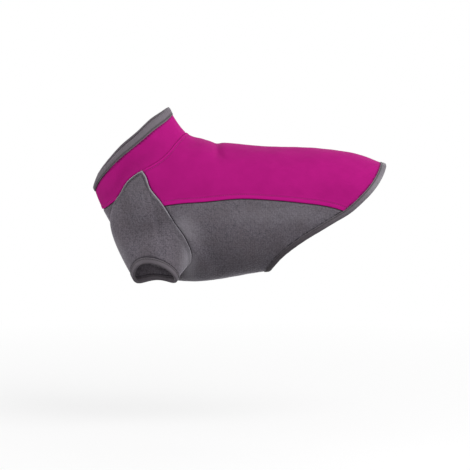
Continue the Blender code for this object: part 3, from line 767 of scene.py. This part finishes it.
def tape_profile(cloth):
    """Folded tape across the cloth's edge, from its outer selvedge round the fold to its inner one.

    Each row is the distance in from the finished edge and the height over the cloth's outer face.
    """
    width, stitch = TAPE_WIDTH, TAPE_STITCH_DEPTH
    outer = [
        (width + 0.1, 0.25), (width, 0.75), (width - 0.45, 1.05),
        (stitch + 0.6, 1.1), (stitch, TAPE_STITCH_HEIGHT), (stitch - 0.6, 1.1),
        (stitch - 1.8, TAPE_RISE), (width * 0.4, TAPE_RISE + 0.1),
    ]
    radius = cloth / 2.0 + TAPE_RISE
    turns = np.radians(np.linspace(90.0, -90.0, 11))
    fold = [(radius - radius * math.cos(turn), radius * math.sin(turn) - cloth / 2.0) for turn in turns]
    inner = [(depth, -cloth - height) for depth, height in reversed(outer)]
    return outer + fold + inner


def binding(word, opening, cloth, finish):
    """Folded tape round an opening, standing for its solid; gives the stitch paths along both its faces."""
    profile = tape_profile(cloth)
    length = running_length(opening.ring(0.0, False)[0])
    scallops = sum(s.height * np.sin(length * 2.0 * math.pi / s.length) for s in SCALLOPS)
    columns = []
    for depth, height in profile:
        points, normals = opening.ring(depth, height > 0.0)
        outer = 1.0 if height > -cloth / 2.0 else -1.0
        columns.append(points + normals * (height + outer * scallops)[:, None])
    points = np.stack(columns, axis=1).reshape(-1, 3)
    faces = swept_faces(len(length), len(profile), True, False)
    if opening.turned:
        faces = [tuple(reversed(face)) for face in faces]
    across = running_length(np.array(profile))
    uv = np.stack(np.broadcast_arrays(length[:, None], across[None, :]), axis=-1).reshape(-1, 2)
    # painted shade in the tape's stitch line, with painted light and shade from the tape's patches
    painted_seam_shade = [math.exp(-((depth - TAPE_STITCH_DEPTH) / TAPE_STITCH_PULL) ** 2) for depth, _ in profile]
    lighter, darker = painted_light_and_shade(points, TAPE_PAINTED_LIGHT_AND_SHADE)
    shade = np.maximum(np.tile(painted_seam_shade, len(length)), darker)
    piece = add_piece(word + "_tape", points, faces, finish, uv, shade, lighter)
    finish_piece(piece, TAPE, word + "_binding")

    runs = []
    over = TAPE_STITCH_HEIGHT + TAPE_STITCH.thread * THREAD_RISE
    for height, up in ((over, 1.0), (-cloth - over, -1.0)):
        points, normals = opening.ring(TAPE_STITCH_DEPTH, height > 0.0)
        runs.append((closed(points + normals * height), closed(normals * up)))
    return runs


# ---------------------------------------------------------------- sleeves

def cuff_ring(degrees):
    """Finished edge of the left cuff at places round it, 90 outside and 180 in front."""
    angle = np.radians(degrees)
    x = CUFF_CENTRE[0] + CUFF_HALF_LENGTH * np.cos(angle)
    y = CUFF_CENTRE[1] - CUFF_HALF_WIDTH * np.sin(angle)
    outward = np.sin(angle)
    pulled_up = CUFF_TILT * outward + CUFF_ARCH * outward ** 2 - CUFF_ROUND * outward ** 3
    z = CUFF_CENTRE[2] + pulled_up - CUFF_SKEW * np.sin(2.0 * angle) - CUFF_LEAN * np.cos(angle)
    return np.stack([x, y, z], axis=-1)


def cuff_slope(degrees):
    """Directions in which the sleeve runs into the cuff at places round it."""
    angle = np.radians(degrees)
    x = CUFF_DROP[0] - CUFF_TAPER[0] * np.cos(angle)
    y = CUFF_DROP[1] + CUFF_TAPER[1] * np.sin(angle)
    return unit(np.stack([x, y, np.full(len(angle), CUFF_DROP[2])], axis=-1))


def sleeve_stations():
    """Sleeve stations as a closed curve of cuff angle, lean and fullness."""
    rows = np.array(SLEEVE_STATIONS)
    turn = np.array([1.0, 360.0, 0.0, 0.0])
    rows = np.concatenate([rows[-3:-1] - turn, rows, rows[1:3] + turn])
    return Spline(rows[:, 0], rows[:, 1:])


SLEEVE_ROWS = 26            # rows between the seam's own rows and the tape
LEAST_SLANT = 0.35          # a sleeve that leaves along its seam is measured as if it left this steeply
HALF_SHARE = 0.01           # share of a sleeve's length to either side of a place
HALVINGS = 30               # steps in which a share is searched


class Sleeve:
    """A sleeve's surface from the armhole, at 0, to the cuff, at 1, worked as on the left.

    side is -1 for the right sleeve, whose points are mirrored when they are placed.
    """

    def __init__(self, armhole, side):
        self.mirror = np.array([1.0, side, 1.0])
        self.turned = side > 0.0
        own = armhole * (1.0, side)
        self.seam = form(own) * self.mirror
        normal = form_normal(own) * self.mirror
        self.closed_seam = closed(self.seam)
        length = running_length(self.closed_seam)
        self.around = length[:-1]
        share = self.around / length[-1]
        # strength of the painted highlight on the folded edge, and of the painted shade in its stitch line,
        # round the seam
        edge = np.array(SLEEVE_EDGE)
        self.edge_light, self.stitch_line_shade = rows_at(edge[:, 1:], edge[:, 0], share).T
        values = sleeve_stations()(share)
        self.end = cuff_ring(values[:, 0])
        tangent = unit(np.roll(self.seam, -1, axis=0) - np.roll(self.seam, 1, axis=0))
        outward = unit(np.cross(tangent, normal))
        self.start = self.seam + outward * SLEEVE_LAP.lap
        reach = np.linalg.norm(self.end - self.start, axis=1)[:, None]
        way = (self.end - self.start) / reach
        out_of_body = (way * normal).sum(-1, keepdims=True)
        self.leave = unit(way - normal * out_of_body * (1.0 - values[:, 1:2])) * reach * values[:, 2:3]
        self.arrive = cuff_slope(values[:, 0]) * reach * CUFF_PULL
        self.slant = np.clip(np.linalg.norm(np.cross(unit(self.leave), tangent), axis=1), LEAST_SLANT, 1.0)

    def at(self, share):
        """Points round the sleeve, at one share of its length or at a share for each place round it."""
        t = np.broadcast_to(np.asarray(share, float), (len(self.start),))[:, None]
        points = ((2 * t ** 3 - 3 * t ** 2 + 1) * self.start + (t ** 3 - 2 * t ** 2 + t) * self.leave
                  + (3 * t ** 2 - 2 * t ** 3) * self.end + (t ** 3 - t ** 2) * self.arrive)
        outer_side = np.clip((CUFF_CENTRE[1] - points[:, 1:2]) / CUFF_HALF_WIDTH, 0.0, 1.0)
        fading = np.sin(math.pi * np.clip(t, 0.0, 1.0)) ** 2
        folds = relief(points * self.mirror, SLEEVE_FOLDS) * outer_side
        return points + np.array([0.0, -1.0, 0.0]) * (folds + ripples(points * self.mirror)) * fading

    def normal(self, share):
        """Unit normals round the sleeve, pointing out of it."""
        here = self.at(share)
        down = self.at(share + HALF_SHARE) - self.at(share - HALF_SHARE)
        around = np.roll(here, -1, axis=0) - np.roll(here, 1, axis=0)
        return unit(np.cross(around, down))

    def share_from(self, origin, distance, rising):
        """Share of the sleeve's length, at each place round it, that lies a distance from one of its ends."""
        low, high = np.zeros(len(self.start)), np.ones(len(self.start))
        for _ in range(HALVINGS):
            middle = (low + high) / 2.0
            far = np.linalg.norm(self.at(middle) - origin, axis=1) > distance
            too_low = far != rising
            low, high = np.where(too_low, middle, low), np.where(too_low, high, middle)
        return low

    def share_below_seam(self, depth):
        """Share at a depth square to the armhole seam."""
        return self.share_from(self.start, (depth + SLEEVE_LAP.lap) / self.slant, True)

    def share_above_cuff(self, distance):
        """Share at a distance above the cuff's finished edge."""
        return self.share_from(self.end, distance, False)

    def ring(self, depth, _outside):
        """Placed points and normals of the cloth at a distance above the cuff's edge, alike on both faces."""
        share = self.share_above_cuff(depth)
        return self.at(share) * self.mirror, self.normal(share) * self.mirror


def sleeve_piece(name, sleeve, finish, node):
    """Sleeve cloth from the armhole into the fold of the cuff's tape."""
    shares = [np.zeros(len(sleeve.start))] + [sleeve.share_below_seam(depth) for depth in EDGE_ROWS]
    last, above = shares[-1], sleeve.share_above_cuff(TAPE_WIDTH + 1.0)
    shares += [last + (above - last) * k / SLEEVE_ROWS for k in range(1, SLEEVE_ROWS + 1)]
    shares += [sleeve.share_above_cuff(depth) for depth in (TAPE_WIDTH - 1.0, TAPE_WIDTH / 2.0, -TAPED.lap)]
    rings, shades, lights, uv = [], [], [], []
    down = np.zeros(len(sleeve.start))
    for share in shares:
        here = sleeve.at(share)
        depth = np.where(share <= 0.0, -SLEEVE_LAP.lap, distance_to_run(here, sleeve.closed_seam))
        cuff_depth = np.linalg.norm(here - sleeve.end, axis=1)
        rings.append(here + sleeve.normal(share) * sewn_height(depth, SLEEVE_LAP)[:, None])
        # painted light and shade: the patches, the highlight on the folded edge, the shade in its stitch line
        # and the shadow beside the cuff's tape
        lighter, darker = painted_light_and_shade(here, CLOTH_PAINTED_LIGHT_AND_SHADE)
        painted_seam_shade = np.maximum(painted_edge_shade(depth, SLEEVE_LAP) * sleeve.stitch_line_shade, painted_edge_shade(cuff_depth, TAPED))
        shades.append(np.maximum(painted_seam_shade, darker))
        lights.append(np.maximum(edge_light(depth, SLEEVE_LAP) * sleeve.edge_light, lighter))
        if len(rings) > 1:
            down = down + np.linalg.norm(rings[-1] - rings[-2], axis=1)
        uv.append(np.stack([sleeve.around, down], axis=-1))
    faces = swept_faces(len(rings), len(sleeve.start), False, True)
    if not sleeve.turned:
        faces = [tuple(reversed(face)) for face in faces]
    points, uv, shade, light = (np.concatenate(rows) for rows in (rings, uv, shades, lights))
    piece = add_piece(name, points * sleeve.mirror, faces, finish, uv, shade, light)
    finish_piece(piece, FLEECE, node)


# ---------------------------------------------------------------- stitches

def evenly(path, normals, pitch):
    """Centres, directions and normals of stitches along a path in space."""
    length = running_length(path)
    count = max(2, int(length[-1] / pitch))
    at = (np.arange(count) + 0.5) * length[-1] / count
    ahead = rows_at(path, length, at + HALF_STEP) - rows_at(path, length, at - HALF_STEP)
    return rows_at(path, length, at), unit(ahead), unit(rows_at(normals, length, at))


# One stitch, one long and of radius one: a bar that stands over the cloth, and ends that sink and taper.
STITCH_SIDES = 6
BAR_LENGTH = 0.76
BAR_RADIUS = 0.8
BAR_SWELL = 1.25            # how much its middle is thicker
BAR_RISE = 0.55
END_LENGTH = 0.12
END_TAPER = 0.3


def pick_faces(mesh, wanted):
    """Selects the faces that a test picks, and nothing else."""
    bpy.ops.mesh.select_all(action="DESELECT")
    for face in bmesh.from_edit_mesh(mesh).faces:
        if wanted(face):
            face.select_set(True)
    bmesh.update_edit_mesh(mesh)


def stitch_shape():
    """Points and faces of one stitch along X."""
    bpy.ops.object.select_all(action="DESELECT")
    bpy.ops.mesh.primitive_cylinder_add(vertices=STITCH_SIDES, radius=BAR_RADIUS, depth=BAR_LENGTH,
                                        location=(0.0, 0.0, 0.0), rotation=(0.0, math.pi / 2.0, 0.0))
    bar = bpy.context.object
    bpy.ops.object.transform_apply(location=True, rotation=True, scale=True)
    bpy.ops.object.mode_set(mode="EDIT")
    bpy.ops.mesh.select_all(action="SELECT")
    bpy.ops.mesh.bisect(plane_co=(0.0, 0.0, 0.0), plane_no=(1.0, 0.0, 0.0))
    bpy.ops.transform.resize(value=(1.0, BAR_SWELL, BAR_SWELL))
    bpy.ops.transform.translate(value=(0.0, 0.0, BAR_RISE))
    for end in (1.0, -1.0):
        pick_faces(bar.data, lambda face: face.normal.x * end > 0.9)
        sunk = {"value": (END_LENGTH * end, 0.0, -BAR_RISE)}
        bpy.ops.mesh.extrude_region_move(TRANSFORM_OT_translate=sunk)
        bpy.ops.transform.resize(value=(1.0, END_TAPER, END_TAPER))
    bpy.ops.mesh.select_all(action="SELECT")
    bpy.ops.mesh.normals_make_consistent(inside=False)
    bpy.ops.object.mode_set(mode="OBJECT")
    points = np.array([vertex.co for vertex in bar.data.vertices])
    faces = [tuple(face.vertices) for face in bar.data.polygons]
    bpy.data.objects.remove(bar)
    return points, faces


def stitches(name, shape, runs, stitching, finish):
    """Rows of thread stitches as one piece."""
    one, one_faces = shape
    size = np.array([stitching.length, stitching.thread / 2.0, stitching.thread / 2.0])
    blocks = []
    for path, normals in runs:
        centre, along, up = evenly(path, normals, stitching.pitch)
        axes = np.stack([along, np.cross(up, along), up], axis=1)
        blocks.append(centre[:, None, :] + (one * size) @ axes)
    points = np.concatenate(blocks).reshape(-1, 3)
    starts = range(0, len(points), len(one))
    faces = [tuple(start + i for i in face) for start in starts for face in one_faces]
    plain = np.zeros(len(points))
    add_piece(name, points, faces, finish, points[:, [0, 2]], plain, plain)


def form_runs(seam_points, sewn):
    """Stitch paths beside a seam on the form, on the left and the right."""
    place = moved_in(seam_points, sewn.stitch)
    height = sewn_height(np.array([sewn.stitch]), sewn)[0] + TOPSTITCH.thread * THREAD_RISE
    runs = []
    for side in (1.0, -1.0):
        own = place * (1.0, side)
        normals = form_normal(own)
        runs.append((form(own) + normals * height, normals))
    return runs


def sleeve_run(sleeve):
    """Stitch path round one sleeve, just inside its folded edge."""
    share = sleeve.share_below_seam(SLEEVE_LAP.stitch)
    here, normals = sleeve.at(share), sleeve.normal(share)
    height = sewn_height(distance_to_run(here, sleeve.closed_seam), SLEEVE_LAP)
    path = here + normals * (height + TOPSTITCH.thread * THREAD_RISE)[:, None]
    return closed(path * sleeve.mirror), closed(normals * sleeve.mirror)


# ---------------------------------------------------------------- materials

Finish = namedtuple("Finish", "material slot")


def linear(hex_colour):
    """Linear colour from an sRGB hex value."""
    channels = [int(hex_colour[i:i + 2], 16) / 255.0 for i in (1, 3, 5)]
    return [c / 12.92 if c <= 0.04045 else ((c + 0.055) / 1.055) ** 2.4 for c in channels] + [1.0]


WAVE_SCALE = 2.0 * math.pi / 20.0


def per_metre(size):
    """Scale of a pattern whose features are size millimetres apart."""
    return 1.0 / (size * MM)


def feed(tree, node, inputs):
    """Sets a node's inputs; each is a value, a socket, or a node whose first output in use is linked."""
    for key, value in inputs.items():
        named = [socket for socket in node.inputs if socket.enabled and socket.name == key]
        target = named[0] if named else node.inputs[key]
        if isinstance(value, bpy.types.Node):
            value = next(socket for socket in value.outputs if socket.enabled)
        if isinstance(value, bpy.types.NodeSocket):
            tree.links.new(value, target)
        else:
            target.default_value = value


def add(tree, kind, inputs=None, **settings):
    """One node with its settings and its inputs."""
    node = tree.nodes.new("ShaderNode" + kind)
    for key, value in settings.items():
        setattr(node, key, value)
    feed(tree, node, inputs or {})
    return node


def blank(name, values):
    """Principled material with what is the same all over; returns it, its tree and its shader."""
    made = bpy.data.materials.new(name)
    made.use_nodes = True
    shader = made.node_tree.nodes["Principled BSDF"]
    feed(made.node_tree, shader, values)
    return made, made.node_tree, shader


def dyed(tree, base, layers, highlight_strength, highlight_colour, shade_colour):
    """A cloth's colour: others over its base, each by a factor; then painted highlight and painted shade."""
    # painted light and painted shade, read from the cloth's attributes
    light = add(tree, "Attribute", attribute_name="light").outputs["Fac"]
    shade = add(tree, "Attribute", attribute_name="shade").outputs["Fac"]
    highlight_share = add(tree, "MapRange", {"Value": light, "To Max": highlight_strength})
    colour = linear(base)
    for factor, over in layers + ((highlight_share, highlight_colour), (shade, shade_colour)):
        colour = add(tree, "Mix", {"Factor": factor, "A": colour, "B": linear(over)}, data_type="RGBA")
    return colour


def magenta_fleece():
    """Smooth-faced polyester fleece: matt, evenly dyed, a fine nap that clouds it slightly."""
    made, tree, shader = blank("magenta_smooth_fleece", {
        "Roughness": 0.9, "Specular IOR Level": 0.15, "Sheen Weight": 0.1, "Sheen Roughness": 0.5,
        "Sheen Tint": linear("#F070C0"),
    })
    place = add(tree, "TexCoord").outputs["Object"]
    cloud = add(tree, "TexNoise", {"Vector": place, "Scale": per_metre(22.0), "Detail": 3.0})
    cloud = add(tree, "MapRange", {"Value": cloud, "From Min": 0.3, "From Max": 0.7})
    # its real nap is about 0.4 mm, too fine to show, so it is drawn 1.6 mm
    nap = add(tree, "TexNoise", {"Vector": place, "Scale": per_metre(1.6), "Detail": 4.0})
    lie = add(tree, "MapRange", {"Value": nap, "From Min": 0.3, "From Max": 0.7, "To Max": 0.2})
    layers = (cloud, "#B4127E"), (lie, "#9E0C6C")
    # painted highlight colour for folded edges and painted shade colour for seams, creases and hollows
    colour = dyed(tree, "#AC0E78", layers, highlight_strength=0.5, highlight_colour="#C8128C", shade_colour="#3C0830")
    bump = add(tree, "Bump", {"Height": nap, "Strength": 0.5, "Distance": 0.25 * MM})
    feed(tree, shader, {"Base Color": colour, "Normal": bump})
    return Finish(made, "magenta_smooth_fleece")


def grey_fleece():
    """Brushed fleece: the nap stands in small soft pebbles, heathered lighter and darker."""
    made, tree, shader = blank("grey_brushed_fleece", {
        "Roughness": 1.0, "Specular IOR Level": 0.15, "Sheen Weight": 1.0, "Sheen Roughness": 0.35,
        "Sheen Tint": linear("#D8D4DE"),
    })
    place = add(tree, "TexCoord").outputs["Object"]
    warp = add(tree, "TexNoise", {"Vector": place, "Scale": per_metre(5.0), "Detail": 2.0}).outputs["Color"]
    place = add(tree, "VectorMath", {0: warp, 1: (MM, MM, MM), 2: place}, operation="MULTIPLY_ADD")
    # its real pebbles are about 1.5 mm and its fibres finer, too fine to show, so both are drawn coarser
    pebble = {"Vector": place, "Scale": per_metre(3.1), "Randomness": 0.6}
    pebble = add(tree, "TexVoronoi", pebble, feature="SMOOTH_F1")
    risen = {"Value": pebble, "From Min": 0.05, "From Max": 0.7, "To Min": 1.0, "To Max": 0.0}
    pebble = add(tree, "MapRange", risen)
    grain = add(tree, "TexNoise", {"Vector": place, "Scale": per_metre(1.5), "Detail": 4.0})
    heather = add(tree, "MapRange", {"Value": grain, "From Min": 0.4, "From Max": 0.62, "To Max": 0.45})
    cloud = add(tree, "TexNoise", {"Vector": place, "Scale": per_metre(26.0), "Detail": 2.0})
    cloud = add(tree, "MapRange", {"Value": cloud, "From Min": 0.35, "From Max": 0.7, "To Max": 0.35})
    layers = (pebble, "#716A73"), (heather, "#858088"), (cloud, "#5F565A")
    # painted highlight colour for folded edges and painted shade colour for seams, creases and hollows
    colour = dyed(tree, "#4A464D", layers, highlight_strength=0.9, highlight_colour="#A8A4AC", shade_colour="#1E1B1F")
    height = add(tree, "Math", {0: pebble, 1: grain}, operation="ADD")
    bump = add(tree, "Bump", {"Height": height, "Strength": 0.8, "Distance": 0.5 * MM})
    feed(tree, shader, {"Base Color": colour, "Normal": bump})
    return Finish(made, "grey_brushed_fleece")


def grey_tape():
    """Knitted elastic tape: fine ribs along its length, closer and smoother than the fleece."""
    made, tree, shader = blank("grey_binding_tape", {
        "Roughness": 0.7, "Sheen Weight": 0.15, "Sheen Roughness": 0.4,
    })
    uv = add(tree, "UVMap", uv_map="cloth")
    # its real ribs are about 0.6 mm, too fine to show, so they are drawn 1.1 mm; a wave texture of scale 1
    # has 20 waves to 2 pi metres
    ribs = {"Vector": uv, "Scale": per_metre(1.1) * WAVE_SCALE, "Distortion": 0.6}
    ribs = add(tree, "TexWave", ribs, wave_type="BANDS", bands_direction="Y").outputs["Fac"]
    fuzz = add(tree, "TexNoise", {"Vector": uv, "Scale": per_metre(1.4), "Detail": 3.0})
    fuzz = add(tree, "MapRange", {"Value": fuzz, "From Min": 0.3, "From Max": 0.7, "To Max": 0.4})
    layers = (ribs, "#787079"), (fuzz, "#69626A")
    # painted highlight colour for folded edges and painted shade colour for seams, creases and hollows
    colour = dyed(tree, "#5B555B", layers, highlight_strength=1.0, highlight_colour="#A8A6AC", shade_colour="#2A2225")
    bump = add(tree, "Bump", {"Height": ribs, "Strength": 0.4, "Distance": 0.15 * MM})
    feed(tree, shader, {"Base Color": colour, "Normal": bump})
    return Finish(made, "grey_binding_tape")


def thread(name, hex_colour, slot):
    """Spun polyester thread: a soft satin twist."""
    made, tree, shader = blank(name, {"Roughness": 0.55})
    place = add(tree, "TexCoord").outputs["Object"]
    twist = add(tree, "TexNoise", {"Vector": place, "Scale": per_metre(0.9)})
    full = linear(hex_colour)
    hollow = [c * 0.7 for c in full[:3]] + [1.0]
    colour = add(tree, "Mix", {"Factor": twist, "A": hollow, "B": full}, data_type="RGBA")
    feed(tree, shader, {"Base Color": colour})
    return Finish(made, slot)


# ---------------------------------------------------------------- the garment

def build():
    """Every cloth piece, tape and row of stitches."""
    magenta, grey, tape = magenta_fleece(), grey_fleece(), grey_tape()
    magenta_thread = thread("magenta_thread", "#C0308E", magenta.slot)
    grey_thread = thread("grey_thread", "#7E7A80", grey.slot)
    tape_thread = thread("tape_thread", "#6A686C", tape.slot)

    edge = Seam(COLLAR_EDGE, start_fold=SPINE, end_fold=BELLY)
    neck = Seam(COLLAR_SEAM, start_fold=SPINE, end_fold=BELLY)
    armhole = Seam(ARMHOLE)
    side = Seam(SIDE_SEAM)
    hem = Seam(HEM, start_fold=SPINE, end_fold=BELLY)

    collar_edge = edge.points(0, len(COLLAR_EDGE) - 1)
    nape_seam = neck.points(0, TIP_KNOT)
    shoulder_seam = neck.points(TIP_KNOT, FRONT_KNOT)
    throat_seam = neck.points(FRONT_KNOT, len(COLLAR_SEAM) - 1)
    raglan = armhole.points(0, SIDE_KNOT)
    underarm = armhole.points(SIDE_KNOT, len(ARMHOLE) - 1)
    side_seam = side.points(0, len(SIDE_SEAM) - 1)
    hem_back = hem.points(0, HEM_SIDE_KNOT)
    hem_under = hem.points(HEM_SIDE_KNOT, len(HEM) - 1)
    whole_hem = np.concatenate([hem_back[:-1], hem_under])

    panel("back_panel_cloth", (
        Edge(nape_seam, NECK_LAP), Edge(raglan, TUCKED), Edge(side_seam, SIDE_LAP),
        Edge(hem_back[::-1], TAPED), Edge(fold_line(hem_back[0, 0], nape_seam[0, 0], SPINE), None),
    ), SMOOTH_FLEECE, magenta, "back_panel")
    panel("under_panel_cloth", (
        Edge(throat_seam, TUCKED), Edge(fold_line(throat_seam[-1, 0], hem_under[-1, 0], BELLY), None),
        Edge(hem_under[::-1], TAPED), Edge(side_seam[::-1], TUCKED), Edge(underarm, TUCKED),
    ), FLEECE, grey, "under_panel")
    panel("collar_cloth", (
        Edge(collar_edge, TAPED), Edge(fold_line(collar_edge[-1, 0], throat_seam[-1, 0], BELLY), None),
        Edge(throat_seam[::-1], NECK_LAP), Edge(shoulder_seam[::-1], TUCKED),
        Edge(nape_seam[::-1], NECK_TUCK),
        Edge(fold_line(nape_seam[0, 0], collar_edge[0, 0], SPINE), None),
    ), SMOOTH_FLEECE, magenta, "collar")

    tape_paths = binding("collar", FormEdge(collar_edge), SMOOTH_FLEECE, tape)
    tape_paths += binding("hem", FormEdge(whole_hem[::-1]), FLEECE, tape)

    front_up = np.concatenate([shoulder_seam[:-1], underarm[::-1][:-1], raglan[::-1][:-1]])
    sleeve_paths = []
    for word, side_sign in (("left", 1.0), ("right", -1.0)):
        sleeve = Sleeve(front_up, side_sign)
        sleeve_piece(word + "_sleeve_cloth", sleeve, grey, word + "_sleeve")
        tape_paths += binding(word + "_cuff", sleeve, FLEECE, tape)
        sleeve_paths.append(sleeve_run(sleeve))

    shape = stitch_shape()
    for name, paths, stitching, finish in (
        ("side_seam_stitches", form_runs(side_seam, SIDE_LAP), TOPSTITCH, magenta_thread),
        ("neck_seam_stitches", form_runs(nape_seam, NECK_LAP), TOPSTITCH, magenta_thread),
        ("throat_seam_stitches", form_runs(throat_seam[::-1], NECK_LAP), TOPSTITCH, magenta_thread),
        ("sleeve_stitches", sleeve_paths, TOPSTITCH, grey_thread),
        ("tape_stitches", tape_paths, TAPE_STITCH, tape_thread),
    ):
        stitches(name, shape, paths, stitching, finish)


# ---------------------------------------------------------------- floor, light and camera

PHOTO_WIDTH = 470           # pixels of the photograph
MM_PER_PIXEL = 1.45
BACK_PIXEL = (225.0, 143.0)
BACK_Z = 2.0                # outer face of the cloth at that pixel
ELEVATION = 6.0
CAMERA_DISTANCE = 6.0
SENSOR = 36.0
FLOOR_Z = -0.413            # the garment is shown at the height at which it is worn
FLOOR_SIZE = 60.0
COVE = (0.2, 1.3)           # metres from the middle over which the floor turns into the white cove

Softbox = namedtuple("Softbox", "name place size watts")
SOFTBOXES = (
    Softbox("key_softbox", (1.3, -1.5, 1.75), 1.8, 43.0),
    Softbox("front_softbox", (-2.5, -0.2, 0.1), 1.6, 40.0),
    Softbox("rear_softbox", (2.5, -0.1, 0.3), 1.6, 33.0),
    Softbox("far_softbox", (0.4, 2.2, 1.2), 1.9, 18.0),
    Softbox("low_softbox", (0.0, -0.9, -0.38), 1.2, 5.0),
)
SURROUND = 0.28             # strength of the white surround as a light


def floor():
    """Pale studio floor that fades into a white cove; its underside is clear, so that it hides nothing."""
    bpy.ops.mesh.primitive_plane_add(size=FLOOR_SIZE, location=(0.0, 0.0, FLOOR_Z))
    made = bpy.context.object
    made.name = "floor"
    paper, tree, shader = blank("floor_paper", {
        "Roughness": 0.9, "Specular IOR Level": 0.1, "Base Color": linear("#F8F8F8"),
    })
    place = add(tree, "NewGeometry")
    away = add(tree, "VectorMath", {0: place}, operation="LENGTH")
    cove = add(tree, "Emission", {"Color": linear("#FFFFFF"), "Strength": 1.0})
    fade = add(tree, "MapRange", {"Value": away, "From Min": COVE[0], "From Max": COVE[1], "To Min": 0.5})
    pale = add(tree, "MixShader", {0: fade, 1: shader, 2: cove})
    dim = add(tree, "BsdfDiffuse", {"Color": linear("#7C7C7C")})
    seen = add(tree, "LightPath").outputs["Is Camera Ray"]
    lit = add(tree, "MixShader", {0: seen, 1: dim, 2: pale})
    clear = add(tree, "BsdfTransparent")
    shown = add(tree, "MixShader", {0: place.outputs["Backfacing"], 1: lit, 2: clear})
    feed(tree, tree.nodes["Material Output"], {"Surface": shown})
    made.data.materials.append(paper)


def studio(aim):
    """Soft light from both sides and above, and a white surround that gives only a little light."""
    for box in SOFTBOXES:
        lamp = bpy.data.lights.new(box.name, "AREA")
        lamp.size = box.size
        lamp.energy = box.watts
        made = bpy.data.objects.new(box.name, lamp)
        made.location = box.place
        made.rotation_euler = (aim - Vector(box.place)).to_track_quat("-Z", "Y").to_euler()
        made.visible_camera = False
        bpy.context.scene.collection.objects.link(made)
    world = bpy.data.worlds.new("studio")
    world.use_nodes = True
    tree = world.node_tree
    seen = add(tree, "LightPath").outputs["Is Camera Ray"]
    strength = add(tree, "MapRange", {"Value": seen, "To Min": SURROUND})
    feed(tree, tree.nodes["Background"], {"Color": (1.0, 1.0, 1.0, 1.0), "Strength": strength})
    bpy.context.scene.world = world


def camera():
    """Camera square to the left side, a little above, at the photograph's framing."""
    middle = PHOTO_WIDTH / 2.0
    x = (middle - BACK_PIXEL[0]) * MM_PER_PIXEL
    rise = math.radians(ELEVATION)
    z = (BACK_Z - (middle - BACK_PIXEL[1]) * MM_PER_PIXEL) / math.cos(rise)
    aim = Vector((x, 0.0, z)) * MM
    made = bpy.data.objects.new("camera", bpy.data.cameras.new("camera"))
    made.data.sensor_width = SENSOR
    made.data.lens = SENSOR * CAMERA_DISTANCE / (PHOTO_WIDTH * MM_PER_PIXEL * MM)
    made.data.clip_end = 100.0
    made.location = aim + Vector((0.0, -math.cos(rise), math.sin(rise))) * CAMERA_DISTANCE
    made.rotation_euler = (aim - made.location).to_track_quat("-Z", "Y").to_euler()
    bpy.context.scene.collection.objects.link(made)
    bpy.context.scene.camera = made
    return aim


bpy.context.scene.view_settings.view_transform = "Standard"
studio(camera())
floor()
build()
